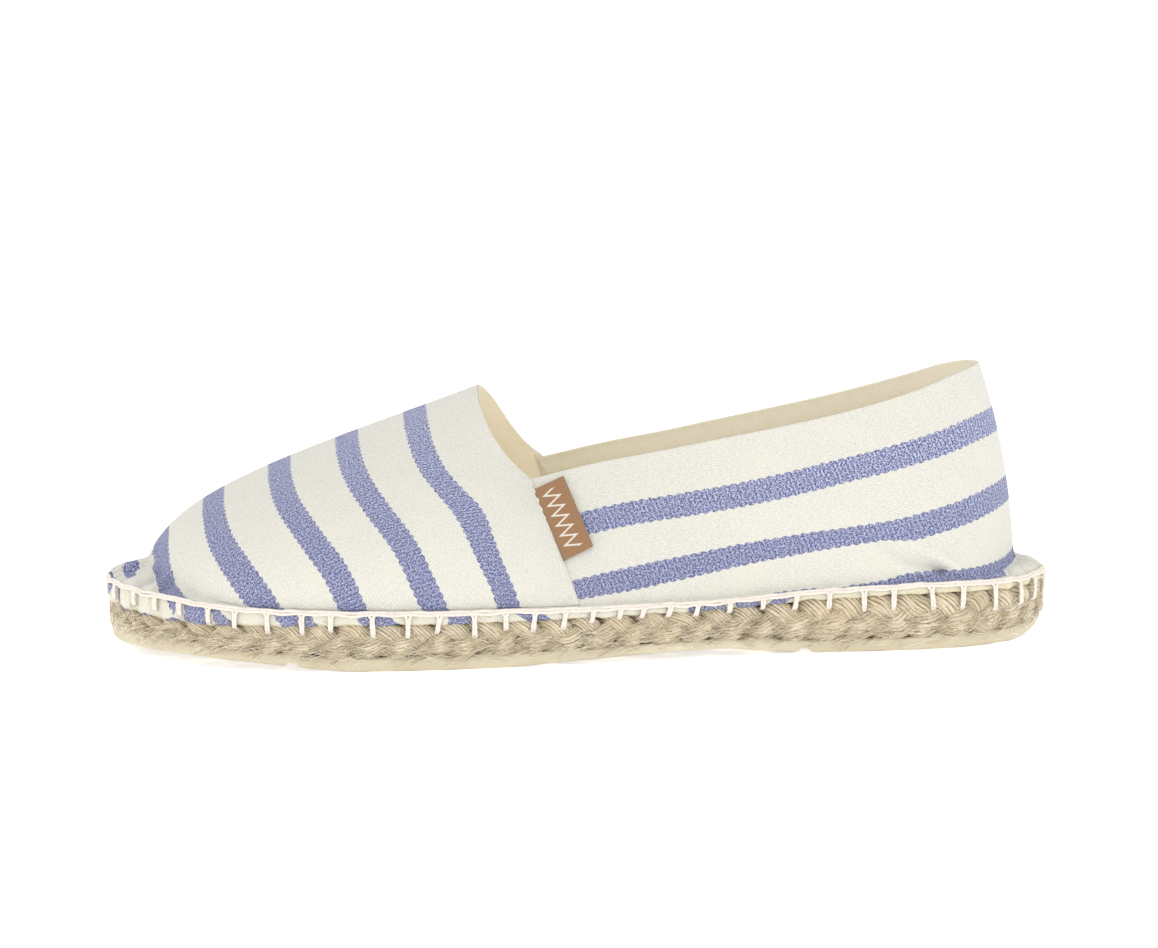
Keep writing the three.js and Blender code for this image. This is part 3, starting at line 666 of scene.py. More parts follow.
def twill_finish(name, painted_glow=0.0):
    """Beige twill: fine slanting ribs crossed by the threads, both from the cloth's own map. The glow is
    painted light: an emission that brightens the lining where it lies in shade inside the shoe."""
    material, start, shader = new_finish(name, 0.9, 0.1)
    shader.inputs["Emission Color"].default_value = paint(238, 226, 200)
    shader.inputs["Emission Strength"].default_value = painted_glow
    cloth = start.node("UVMap", {"uv_map": "cloth"})
    across = start.node("SeparateXYZ", {}, {0: cloth}, 0)
    along = start.node("SeparateXYZ", {}, {0: cloth}, 1)
    crimp = start.noise(cloth, 1.3, 2.0)
    ribs = ((across * 0.3 + along * 0.9 + crimp * 0.5) * (2 * math.pi / 0.7)).math("SINE")
    threads = ((along * 0.9 - across * 0.3) * (2 * math.pi / 0.5)).math("SINE")
    clouds = start.noise(cloth, 0.35, 3.0)
    relief = ribs * crimp * 0.4 + threads * 0.1 + 0.5
    body = relief.between(0.0, 1.0).tint(paint(216, 209, 190), paint(228, 222, 206))
    connect((clouds.between(0.4, 0.7) * 0.4).tint(body, paint(214, 206, 186)), shader, "Base Color")
    raise_surface(start, shader, relief, 0.0001, 0.5)
    return material


def insole_piece():
    """Rings inside the upper's walls, from the underside over the rounded edge to the top, which is
    slightly hollow under heel and ball."""
    share = np.linspace(0, 0.5, 201)
    profile = [(0, 0), (0, INSOLE_THICKNESS - INSOLE_ROUNDING), (0.2, INSOLE_THICKNESS - 0.25),
               (INSOLE_ROUNDING, INSOLE_THICKNESS), (3, INSOLE_THICKNESS), (8, INSOLE_THICKNESS - 0.2)]
    rows = []
    for side in (share, 1 - share):
        s = stations(side)
        rim = ledge_width(s) + CANVAS + INSOLE_MARGIN
        rows.append(np.array([inside(s, rim + run, s.edge - CANVAS + up) for run, up in profile]))
    across = np.linspace(0, 1, 12)[1:-1, None, None]
    top = rows[0][-1] + across * (rows[1][-1] - rows[0][-1])
    loop = np.concatenate([rows[0], top, rows[1][::-1]])
    faces = quads(len(loop), len(share), wrap_rows=True)
    piece = new_piece("sock_lining", loop, faces, [twill_finish("sock_twill")], loop[..., :2])
    weld(piece)
    return piece


sock_lining = insole_piece()
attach(sock_lining, "root")
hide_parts("insole")

# The vamp: the front of the upper, one piece of striped canvas lined with twill. It runs from the throat
# over the toes, is gathered in small pleats round the toe, turns out over the rope and hangs down as a
# hem. Its rear edges lap over the quarter. The blue stripes are woven in, with scalloped edges.
FRONT_LAP = 0.9
THROAT_FROM_TOE = 99.4
THROAT_HEIGHT = 68.5
CORNER_FROM_TOE = 111.2
CORNER_HEIGHT = 47
SEAM_FOOT_FROM_TOE = 124
INNER_SEAM_SHIFT = 5.4
COLLAR_WIDTH = 48
WALL_BULGE = 2.4
STRIPE_WIDTH = 6.5
STRIPE_PLACES = (18.2, 37.6, 57, 76.5, 94.8, 107.8)
STRIPE_SHARES = (1, 1, 1, 1, 1.15, 0.75)
LEDGE_STRIPE_FULL = 4
LEDGE_STRIPE_TAPER = 10
SLANT_SHARE = 0.35
RIDGE_MIDDLE = -5
THROAT_PULL = 3
THROAT_PULL_RUN = 36
SCALLOP_PITCH = 2.6
SCALLOP_DEPTH = 0.5
VAMP_WEAVE = 1.35

# How far back a stripe lies at a distance from the instep's ridge, measured in the side view and rounded.
# Columns: distance, way back.
STRIPE_SWEEP = np.array([
    (0, 0), (14, 0.1), (20, 0.5), (26, 1.2), (31, 2.3), (36, 4), (40.5, 6.1), (44.5, 8.2), (48.5, 10.7),
    (52, 13), (55, 14.8), (58, 16.4), (61, 17.9), (64, 19.5), (67, 21.1), (70, 22.4), (80, 27),
])

# Columns: share of half the collar width, share of the way from a corner to the throat, share of the way
# up, from the inner corner over the instep to the outer one.
THROAT_ROWS = np.array([
    (-1, 0, 0), (-0.99, 0.14, 0.08), (-0.96, 0.29, 0.2), (-0.88, 0.47, 0.4), (-0.77, 0.61, 0.59),
    (-0.62, 0.75, 0.78), (-0.43, 0.88, 0.92), (-0.15, 0.98, 1), (0.17, 1, 0.95), (0.42, 0.98, 0.84),
    (0.65, 0.88, 0.67), (0.83, 0.7, 0.46), (0.94, 0.46, 0.26), (0.99, 0.19, 0.1), (1, 0, 0),
])

# Columns: 0 at the toe and 1 at the side seams and along the back; then how a rib of the upper curves
# between hem and opening, as shares of the way in and up of its two middle points; share of WALL_BULGE.
RIB_ROWS = np.array([
    (0, 0.05, 0.4, 0.45, 0.6, 0),
    (0.45, 0.02, 0.36, 0.42, 0.68, 0.3),
    (0.8, 0.08, 0.4, 0.46, 0.78, 0.7),
    (1, 0.3, 0.34, 0.64, 0.68, 1),
])

# The blue that shows on the hem along the outer side, read off the side view. Columns: where it begins and
# ends at the top of the hem, and at its foot, in millimetres along the edge from the toe tip. One that
# ends before it begins shows only further down or up.
HEM_BLUE = np.array([
    (-9, -3, -9, -4.5),
    (-1.5, 8, -2, 6.5),
    (10.8, 14, 13, 17),
    (50, 5, 12.5, 20),
    (50, 10, 24, 30.5),
    (50, 25, 34.5, 40.5),
    (35.6, 39, 39, 37.5),
    (41.4, 48, 41.4, 48.3),
    (49.6, 51.8, 51, 57.5),
    (67, 74.8, 70, 74),
    (75.8, 77.5, 75.8, 79.5),
    (89.3, 98, 91, 101),
    (113.3, 119.6, 113.3, 119.6),
    (131, 137.5, 134, 141),
    (177.5, 187, 176, 187.3),
    (189.5, 196.6, 189.5, 196.8),
    (199.5, 206, 198.5, 203),
])


def from_toe(distance):
    return SHOE_LENGTH / 2 - distance


def share_at(x, tip):
    """The share of the outline where it crosses x, on the outer side if tip is 0 and the inner if it is 1."""
    dense = np.linspace(tip, 0.5, 6001)
    return np.interp(-x, -np.minimum.accumulate(outline(dense)[:, 0]), dense)


def corner_x(side):
    """Where vamp and quarter meet at the opening. The inner corner lies further back."""
    return from_toe(CORNER_FROM_TOE) - np.where(side < 0, INNER_SEAM_SHIFT, 0)


throat, THROAT_LENGTH = curve_through(np.stack([
    mixed(corner_x(THROAT_ROWS[:, 0]), from_toe(THROAT_FROM_TOE), THROAT_ROWS[:, 1]),
    COLLAR_WIDTH / 2 * THROAT_ROWS[:, 0],
    mixed(CORNER_HEIGHT, THROAT_HEIGHT, THROAT_ROWS[:, 2]),
], -1), False)
outer_seam = share_at(from_toe(SEAM_FOOT_FROM_TOE), 0)
inner_seam = share_at(from_toe(SEAM_FOOT_FROM_TOE) - INNER_SEAM_SHIFT, 1)
rib_shape = [smooth_column(RIB_ROWS, k) for k in range(1, 6)]


def wall_rise(s):
    """How much higher than the hem's top the wall begins, where the toe's ledge slopes up."""
    return TOE_LEDGE_RISE * eased(s.to_toe, TOE_LEDGE_RUN)


def ribs(s, opening, turn, climb):
    """Cubic curves from the ledge on the sole up to the opening, one for each station, at each climb from
    0 to 1. Their two middle points lie at shares of the way in and up, and bulge outwards."""
    foot = inside(s, ledge_width(s), s.edge + wall_rise(s))
    way = opening - foot
    run1, rise1, run2, rise2, bulge = (shape(turn) for shape in rib_shape)
    out = s.outwards * (WALL_BULGE * bulge)[:, None]
    first = foot + way * np.stack([run1, run1, rise1], -1) + out
    second = foot + way * np.stack([run2, run2, rise2], -1) + out
    v = np.asarray(climb)[:, None, None]
    rest = 1 - v
    return rest**3 * foot + 3 * rest**2 * v * first + 3 * rest * v * v * second + v**3 * opening


def front_stations(share):
    return stations(mixed(inner_seam, 1 + outer_seam, share))


def front_wall(share, climb):
    """The vamp's wall: share runs from the inner seam round the toe to the outer one."""
    return ribs(front_stations(share), throat(share), np.abs(2 * share - 1), climb)


HEM_FRAY = 0.28
HEEL_RIM = 0.8


def edge_rows(s):
    """From the foot of the wall out over the ledge, round the sole's edge and down to the hem's foot, which
    is cut a little unevenly."""
    foot = s.hem_foot + HEM_FRAY * uneven(s.share, 110, 33)
    ledge = ledge_width(s)
    rise = wall_rise(s)
    rows = [inside(s, mixed(ledge, 0.9, t), mixed(s.edge, s.rim, t**5) + mixed(rise, 0, t))
            for t in np.linspace(0, 1, 11)[1:]]
    round_rim = HEEL_RIM * eased(s.to_heel, HEEL_SLANT_RUN)
    rows.append(inside(s, 0.25 + round_rim, s.rim - 0.2 - 0.5 * round_rim))
    rows.append(inside(s, -0.15 + 0.5 * round_rim, s.rim - 0.75 - 0.8 * round_rim))
    for t in np.linspace(0, 1, 6)[1:]:
        rows.append(inside(s, -0.2 + 0 * ledge, mixed(s.rim - 0.9, foot, t)))
    return np.array(rows)


def softened(grid, first, last, passes):
    """The grid with its bends rounded: between two rows, each point moves to the mean of itself, counted
    twice, and its neighbours above and below."""
    grid = grid.copy()
    for _ in range(passes):
        middle = (grid[first - 1:last - 1] + 2 * grid[first:last] + grid[first + 1:last + 1]) / 4
        grid[first:last] = middle
    return grid


def outward_normals(grid):
    """The unit vectors that stand on the grid, from the steps along its rows and down its columns."""
    normals = np.cross(np.gradient(grid, axis=0), np.gradient(grid, axis=1))
    return normals / np.maximum(np.linalg.norm(normals, axis=-1, keepdims=True), 1e-9)


def run_along(grid, axis):
    """The length from the grid's start to each point, along rows or columns."""
    steps = np.linalg.norm(np.diff(grid, axis=axis), axis=-1)
    start = np.zeros_like(np.take(steps, [0], axis=axis))
    return np.concatenate([start, np.cumsum(steps, axis=axis)], axis=axis)


def thick_sheet(name, grid, normals, middle, half, border, finishes, cloth_map, marks):
    """A closed sheet of cloth round a grid: two faces half a thickness either side of the middle surface,
    rounded together where border, the distance from an edge, is under half a thickness."""
    close = np.clip(border / np.maximum(half, 1e-6), 0, 1)
    spread = half * np.sqrt(np.clip(1 - (1 - close) ** 2, 0.02, 1))
    outer = grid + normals * (middle + spread)[..., None]
    inner = grid + normals * (middle - spread)[..., None]
    rows, columns = grid.shape[:2]
    count = rows * columns
    face = quads(rows, columns)
    number = np.arange(count).reshape(rows, columns)
    rim = np.concatenate([number[0], number[1:, -1], number[-1, -2::-1], number[-2:0:-1, 0]])
    rim_next = np.roll(rim, -1)
    rim_faces = np.stack([rim, rim + count, rim_next + count, rim_next], -1)
    faces = np.concatenate([face[:, ::-1], face + count, rim_faces])
    numbers = np.r_[np.zeros(len(face)), np.ones(len(face)), np.zeros(len(rim_faces))]
    points = np.concatenate([outer.reshape(-1, 3), inner.reshape(-1, 3)])
    both_maps = np.concatenate([cloth_map.reshape(-1, 2)] * 2)
    both_marks = {mark: np.concatenate([np.ravel(values)] * 2) for mark, values in marks.items()}
    return new_piece(name, points, faces, finishes, both_maps, both_marks, numbers)


def canvas_finish():
    """Striped cotton canvas. The blue is where the mark that tells the depth inside a stripe is above
    zero, moved by a scallop for each rib of the weave. Its yarns are flecked light and dark, and a little
    darker low on the shoe. The white has faint ribs, and a few pin marks. The hem has yellowed where the
    mark says so, and folds and the crease get a painted shadow."""
    material, start, shader = new_finish("striped_canvas", 0.85, 0.1)
    cloth = start.node("UVMap", {"uv_map": "cloth"})
    across = start.node("SeparateXYZ", {}, {0: cloth}, 0)
    along = start.node("SeparateXYZ", {}, {0: cloth}, 1)
    depth = start.node("Attribute", {"attribute_name": "blue"}, {}, 2)
    wander = start.noise(cloth, 0.35, 2.0) - 0.5
    scallop = ((along + wander * 0.6) * (math.pi / SCALLOP_PITCH)).math("SINE").math("ABSOLUTE")
    edge = depth + (scallop - 0.7) * SCALLOP_DEPTH + wander * 0.3
    stripe = edge.between(-0.09, 0.09)
    crimp = start.noise(cloth, 1.6, 2.0) - 0.5
    warp = ((across + crimp * 0.9) * (2 * math.pi / 0.87)).math("SINE")
    weft = ((along + crimp * 0.9) * (2 * math.pi / 0.87)).math("SINE")
    bars = (along * (2 * math.pi / 1.3)).math("SINE")
    flecks = start.noise(start.stretched(cloth, 1.9, 1.9, 1), 1.0, 1.5, 0.9)
    blue_relief = warp * weft * 0.3 + (flecks - 0.5) * 5.0 + bars * 0.15 + 0.5
    grain = start.noise(start.stretched(cloth, 2.6, 1.0, 1), 1.0, 2.0, 0.8)
    ribs = ((across + crimp * 0.6) * (2 * math.pi / 0.66)).math("SINE") * grain
    white_relief = ribs * 0.25 + warp * weft * 0.25 + (grain - 0.5) * 1.4 + 0.5
    clouds = start.noise(cloth, 0.09, 3.0)
    pins = start.noise(cloth, 0.95, 1.0).between(0.75, 0.79)
    white = white_relief.between(0.0, 1.0).tint(paint(194, 192, 181), paint(220, 218, 210))
    warm = (clouds.between(0.45, 0.7) * 0.35).tint(white, paint(214, 209, 194))
    pinned = (pins * 0.3).tint(warm, paint(150, 140, 130))
    aged = start.node("Attribute", {"attribute_name": "aged"}, {}, 2)
    creamy = (aged.between(0.0, 1.0) * 0.8).tint(pinned, paint(212, 203, 172))
    singed = (aged.between(1.1, 1.9) * 0.8).tint(creamy, paint(150, 122, 74))
    middle_blue = blue_relief.between(0.0, 0.5).tint(paint(80, 84, 124), paint(139, 144, 176))
    blue = blue_relief.between(0.5, 1.0).tint(middle_blue, paint(200, 204, 228))
    height = start.node("SeparateXYZ", {}, {0: start.node("TexCoord", {}, {}, 3)}, 2)
    low = (1 - height.between(0.015, 0.068)) * 0.36
    striped = stripe.tint(singed, low.tint(blue, paint(92, 95, 132)))
    fold = start.node("Attribute", {"attribute_name": "fold"}, {}, 2)
    # Painted shadow in the folds of the pleats and in the crease.
    connect((fold.between(0.05, 1.0) * 0.75).tint(striped, paint(96, 86, 100)), shader, "Base Color")
    relief = white_relief * 0.5 + stripe * (blue_relief * 0.5 + 0.2)
    raise_surface(start, shader, relief, 0.00022, 0.8)
    return material


def stripe_depth(place, slant, away):
    """How deep a place across the cloth lies inside the nearest stripe: half its width less the distance
    from its middle, which slant shortens. The last stripe, on the toe's ledge, tapers to both sides."""
    widths = np.ones(away.shape + (1,)) * STRIPE_SHARES
    widths[..., -1] *= 1 - np.clip((away - LEDGE_STRIPE_FULL) / LEDGE_STRIPE_TAPER, 0, 1.5)
    distance = np.abs(place[..., None] - np.asarray(STRIPE_PLACES)) / slant[..., None]
    return (STRIPE_WIDTH / 2 * widths - distance).max(-1)


def hem_blue_depth(s, height):
    """How deep a point of the hem lies inside the nearest charted patch, whose ends slant from the top of
    the hem to its foot. The inner side has the same patches, moved back by half a stripe."""
    outer_run = s.share * EDGE_LENGTH
    inner_run = (1 - s.share) * EDGE_LENGTH - 5
    run = np.where(s.share < 0.5, outer_run, inner_run)
    down = np.clip((s.rim - 1 - height) / (s.rim - 1 - s.hem_foot), 0, 1)[..., None]
    begins = mixed(HEM_BLUE[:, 0], HEM_BLUE[:, 2], down)
    ends = mixed(HEM_BLUE[:, 1], HEM_BLUE[:, 3], down)
    return np.minimum(run[..., None] - begins, ends - run[..., None]).max(-1)


# The places of the edge stitches, which also gather the canvas, read off the side view of the outer side.
# Columns: millimetres along the edge from the toe tip, how far the stitch leans back at its foot, length.
STITCH_ROWS = np.array([
    (3.6, 0, 5), (11.7, 0.3, 5.2), (23, 0.2, 4.8), (31.7, 0, 4.6), (40.2, 0.3, 4.6), (49.3, 0, 5.2),
    (57.2, -0.4, 5.4), (65.9, 0.2, 6), (75.3, 0, 6.2), (83, -0.2, 4.8), (93.6, 0.3, 6.4), (103, -0.2, 6.6),
    (111.3, -1, 5.3), (120.1, 0.1, 7), (128.3, 0.1, 4.9), (136.2, -0.8, 5.6), (144.3, -1, 5.3),
    (151.7, -0.8, 3.6), (158.9, -0.7, 3), (165, -0.8, 2.9), (172.2, -1, 3), (179.5, -0.9, 3.3),
    (188.1, -0.3, 3), (197.1, -0.2, 3), (206.3, -0.8, 4.2), (215, -0.4, 4.8), (224, 0, 6.2),
    (231.9, -0.2, 6.4), (241.8, 0.7, 7), (250.6, -0.3, 7), (259.9, 0.2, 8.4), (268.9, 0.6, 8),
    (276.3, 0.4, 7.6), (284.2, 0.2, 7.4),
])
inner_stitches = STITCH_ROWS[::-1] * (-1, -1, 1) + (EDGE_LENGTH, 0, 0)
stitches = np.concatenate([STITCH_ROWS, inner_stitches])


def stitch_phase(share):
    """Which stitch a place of the edge lies at, counted on, so that it is whole at each stitch."""
    places = np.r_[stitches[-1:, 0] - EDGE_LENGTH, stitches[:, 0], stitches[:1, 0] + EDGE_LENGTH]
    return np.interp(np.mod(share, 1) * EDGE_LENGTH, places, np.arange(-1, len(stitches) + 1))


TOE_PUCKER = 1.1
SIDE_PUCKER = 0.3
EDGE_SHARE = 0.4
EDGE_RUN = 6


def puckers(s, above):
    """How far the canvas stands out between stitches: a bow from stitch to stitch, highest on the hem and
    round the toe and heel, dying away above."""
    phase = stitch_phase(s.share)
    bow = np.sin(np.pi * phase) ** 2 - 0.5
    gathered = np.maximum(eased(s.to_toe, 75), 0.45 * eased(s.to_heel, 45))
    size = SIDE_PUCKER + TOE_PUCKER * gathered
    mixed_up = 1 + 0.5 * uneven(s.share, 50, 9)
    return bow * size * mixed_up * eased(above, 4 + 7 * gathered)


# Pleats of the ledge round toe and heel, charted on the outer side. Columns: millimetres along the
# edge from the toe tip, how deep, half how wide, and how much higher the cloth stands beside them.
TOE_PLEATS = np.array([
    (-34, 0.8, 1.1, 0.3), (-25, 1, 1.2, 0.4), (-17, 1.2, 1.2, 0.5), (-9.5, 1.4, 1.2, 0.7), (-3.5, 1.4, 1, 0.8),
    (1.5, 2.8, 1.2, 1.3), (8, 1.5, 1, 0.9), (14, 1, 1.1, 0.5), (21.5, 0.8, 1.2, 0.4), (30.5, 0.6, 1.2, 0.3),
])
HEEL_PLEATS = np.array([
    (258, 0.5, 1.2, 0.2), (267.5, 0.8, 1.1, 0.4), (274.5, 1, 1, 0.5), (280.5, 1.1, 0.9, 0.6),
    (286.5, 1.1, 0.9, 0.6), (293, 1, 1, 0.5), (300.5, 0.9, 1, 0.4), (309, 0.7, 1.1, 0.3),
])


def ledge_share(rows, foot):
    """For each row of a panel's grid, how much a pleat shows: growing over the ledge to the rim and
    fading down the hem."""
    row = np.arange(rows) - foot
    return np.interp(row, [-5, 0, 3, 8, 11, 13, 16], [0, 0.4, 1, 1, 0.9, 0.5, 0.2])[:, None]


def hem_age(rows, foot):
    """For each row of a panel's grid, how yellow it has become: the hem a little, and more along its two
    edges."""
    return np.interp(np.arange(rows) - foot, [10, 12, 14, rows - foot - 2, rows - foot - 1],
                     [0, 0.6, 0.35, 0.35, 1.1])[:, None]


def pleats(s, strength, table):
    """How far the cloth stands out at the pleats, narrow troughs between low swellings, and how much painted
    shadow each place gets in a pleat's fold."""
    run = np.mod(s.share * EDGE_LENGTH + 100, EDGE_LENGTH) - 100
    total = np.zeros_like(run)
    fold = np.zeros_like(run)
    for place, depth, width, swelling in table:
        t = (run - place) / width
        total += swelling * np.exp(-((t / 2.4) ** 2)) - (depth + swelling) * np.exp(-(t**2))
        # Painted shadow, strongest in the pleat's trough.
        fold += depth / 2.2 * np.exp(-((t / 0.6) ** 2))
    return total * strength, fold * strength


def opening_rows(steps):
    """Climbs from the opening down to the foot, closer together just under the edge."""
    return np.r_[1, 0.9985, 0.996, 0.992, np.linspace(0.985, 0, steps)]


def seam_columns(steps, gather):
    """Shares of a panel's width, closer together at its two ends and, as gather tells, at its middle."""
    ends = np.array([0, 0.0008, 0.002, 0.0042])
    dense = np.linspace(0, 1, 2001)
    crowd = 1 + gather * np.exp(-(((dense - 0.5) / 0.13) ** 2))
    count = np.r_[0, np.cumsum(crowd[1:])]
    middle = np.interp(np.linspace(0.008, 0.992, steps) * count[-1], count, dense)
    return np.unique(np.r_[ends, middle[(middle > 0.006) & (middle < 0.994)], 1 - ends])


def border_distance(grid, foot_is_edge=True):
    """The distance of each point of a grid from the nearest of its four edges."""
    down = run_along(grid, 0)
    sideways = run_along(grid, 1)
    ways = [down, sideways, sideways[:, -1:] - sideways]
    if foot_is_edge:
        ways.append(down[-1:] - down)
    return np.min(ways, axis=0)


def edge_taper(grid):
    """The cloth's thickness near the opening as a share of that below, because its edge is pressed flat."""
    return EDGE_SHARE + (1 - EDGE_SHARE) * (1 - eased(run_along(grid, 0), EDGE_RUN))


def vamp_piece():
    """The wall's ribs, the ledge and the hem in one grid, softened at its bends and puckered between the
    stitches. Across the cloth it is measured along the ridge from the throat, in planes that sweep back
    with the distance from the ridge."""
    share = seam_columns(430, 1.6)
    climb = opening_rows(74)
    s = front_stations(share)
    wall = front_wall(share, climb)
    grid = np.concatenate([wall, edge_rows(s)])
    foot = len(climb) - 1
    grid = softened(grid, foot - 5, len(grid) - 1, 5)
    normals = outward_normals(grid)
    ridge = front_wall(np.array([0.485]), np.linspace(1, 0, 200))[:, 0]
    ridge_run = run_along(ridge[:, None], 0)[:, 0]
    ridge_x = np.maximum.accumulate(ridge[:, 0])
    ridge_top = np.interp(grid[..., 0], ridge_x, ridge[:, 2])
    away = np.hypot(grid[..., 1] - RIDGE_MIDDLE, np.maximum(ridge_top - grid[..., 2], 0))
    sweep = smooth_column(STRIPE_SWEEP, 1)
    swept = grid[..., 0] + sweep(away)
    steps = ridge_x + np.arange(len(ridge_x)) * 1e-6
    beyond = np.maximum(swept - steps[-1], 0) + 1.08 * np.minimum(swept - steps[0], 0)
    across = np.interp(swept, steps, ridge_run) + beyond
    across += THROAT_PULL * np.exp(-(((away - 48) / 7) ** 2)) * eased(np.maximum(across, 0), THROAT_PULL_RUN)
    slope = sweep(away + 0.5) - sweep(away - 0.5)
    blue = stripe_depth(across, 1 + SLANT_SHARE * (np.sqrt(1 + slope**2) - 1), away)
    distances = np.arange(0, 90, 0.1)
    stretches = np.sqrt(1 + np.gradient(sweep(distances), 0.1) ** 2)
    hem = np.arange(len(grid)) >= foot + 11
    heights = grid[..., 2]
    wide = SimpleNamespace(**{key: np.broadcast_to(value, heights.shape) for key, value in vars(s).items()
                              if np.ndim(value) == 1})
    blue[hem] = hem_blue_depth(wide, heights)[hem]
    along = np.sign(grid[..., 1] - RIDGE_MIDDLE) * np.interp(away, distances, np.cumsum(stretches) * 0.1)
    lap = FRONT_LAP * np.clip(np.arange(len(grid)) < foot + 3, 0, 1).astype(float)
    lap[foot - 8:foot + 6] = FRONT_LAP * np.linspace(1, 0.15, 14)
    lap[foot + 6:] = 0.15 * FRONT_LAP
    half = CANVAS / 2 * edge_taper(grid)
    middle = lap[:, None] - half
    pleat, fold = pleats(wide, ledge_share(len(grid), foot), TOE_PLEATS)
    pucker = puckers(wide, np.maximum(heights - wide.rim, 0)) + pleat
    # The vamp's lining glows: painted light that brightens its shaded inside.
    finishes = [canvas_finish(), twill_finish("vamp_lining", 0.3)]
    cloth_map = np.stack([across, along * VAMP_WEAVE], -1)
    marks = {"blue": blue, "fold": fold, "aged": hem_age(len(grid), foot) + 0 * blue}
    return thick_sheet("vamp", grid, normals, middle + pucker, half, border_distance(grid), finishes,
                       cloth_map, marks)


vamp = vamp_piece()
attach(vamp, "root")
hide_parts("upper")

# The quarter: the back of the upper, one strip of the same canvas round the heel, its stripes along the
# collar. Its front edges go under the vamp and are sewn there. It turns out over the rope like the vamp,
# in pleats round the heel, and has one soft crease low on the outer side.
COLLAR_FROM_HEEL = 16.8
HEEL_HEIGHT = 73
UNDERLAP = 7
UNDERLAP_HALF = 0.35
CREASE_DEPTH = 2.9
CREASE_WIDTH = 2.2
CREASE_END_WIDTH = 1.4
CREASE_ROUTE = np.array([(-80, 29.6), (-84.5, 26.2), (-90, 22.9), (-95.5, 20.3)])

# The quarter's stripes, measured in the side view and rounded. Columns: share of the way from a seam round
# the back; how far below the collar the middle of the first two lies; the second one's width as a share of
# the first's.
QUARTER_STRIPES = np.array([
    (0, 16.3, 33.2, 0.8),
    (0.06, 16.2, 33.6, 0.95),
    (0.1, 16.1, 33.1, 0.94),
    (0.13, 16.1, 32.5, 0.92),
    (0.18, 16.2, 32, 0.86),
    (0.23, 16, 32.2, 0.82),
    (0.26, 15.7, 32.6, 0.78),
    (0.3, 15.4, 33.4, 0.76),
    (0.34, 15.4, 34.7, 1),
    (0.38, 15.4, 34.7, 1),
    (0.42, 15.4, 34.5, 1),
    (0.5, 15.6, 34.5, 1),
])

# The third stripe runs out under the edge stitching. Columns: millimetres along the edge from the toe tip,
# and how far its upper side lies above the foot of the wall.
THIRD_STRIPE = np.array([
    (194, -4), (198, -1.6), (202, -0.9), (208, -0.9), (213, -1.3), (217, -1.5), (222, -0.8), (228, -0.4), (231, 0),
    (238, 1.4), (247, 1.4), (256, 1.5), (263, 2), (269, 2.4), (278, 2.8), (289, 3),
])
THIRD_END_RUN = 27
AGED_RUN = 120

# Columns: share of half the collar width, share of the way back from a corner to the heel, share of the
# way up.
COLLAR_ROWS = np.array([
    (1, 0, 0), (0.93, 0.15, 0.15), (0.93, 0.28, 0.25), (0.95, 0.41, 0.36), (0.96, 0.54, 0.47),
    (0.94, 0.67, 0.59), (0.89, 0.77, 0.7), (0.79, 0.855, 0.81), (0.64, 0.92, 0.91), (0.38, 0.975, 0.98),
    (0, 1, 1),
])


def collar_side(rows, side):
    """One side of the collar edge, 1 for the outer and -1 for the inner."""
    x = mixed(corner_x(side), COLLAR_FROM_HEEL - SHOE_LENGTH / 2, rows[:, 1])
    return np.stack([x, side * COLLAR_WIDTH / 2 * rows[:, 0], mixed(CORNER_HEIGHT, HEEL_HEIGHT, rows[:, 2])], -1)


collar_points = np.concatenate([collar_side(COLLAR_ROWS, 1), collar_side(COLLAR_ROWS[-2::-1], -1)])
collar, COLLAR_LENGTH = curve_through(collar_points, False)


def back_stations(share):
    return stations(mixed(outer_seam, inner_seam, share))


def back_wall(share, climb):
    """The quarter's wall: share runs from the outer seam round the heel to the inner one."""
    return ribs(back_stations(share), collar(share), np.ones_like(share), climb)


def distance_to_route(x, z, route):
    """The distance of points from a broken line in the side view, and the share of the way along it."""
    starts = route[:-1]
    ways = np.diff(route, axis=0)
    offset = np.stack([x, z], -1)[..., None, :] - starts
    t = np.clip((offset * ways).sum(-1) / (ways**2).sum(-1), 0, 1)
    gaps = np.linalg.norm(offset - ways * t[..., None], axis=-1)
    nearest = gaps.argmin(-1)
    share = (nearest + np.take_along_axis(t, nearest[..., None], -1)[..., 0]) / len(starts)
    return gaps.min(-1), share


def crease(grid):
    """The soft trough on the outer side, deepest and narrowest at its lower end, with a low ridge beside it,
    and how much painted shadow each place gets in the trough."""
    gap, share = distance_to_route(grid[..., 0], grid[..., 2], CREASE_ROUTE)
    width = mixed(CREASE_WIDTH, CREASE_END_WIDTH, share)
    trough = np.exp(-((gap / width) ** 2))
    ridge = 0.45 * np.exp(-(((gap - 2.2 * width) / (1.3 * width)) ** 2))
    depth = CREASE_DEPTH * (0.22 + 0.78 * share**1.5) * np.clip((grid[..., 2] - 19.1) / 1.3, 0, 1)
    on_side = grid[..., 1] > 0
    # The second value is painted shadow along the crease's trough.
    return np.where(on_side, depth * (ridge - trough), 0), np.where(on_side, 0.8 * share**3 * trough**4, 0)


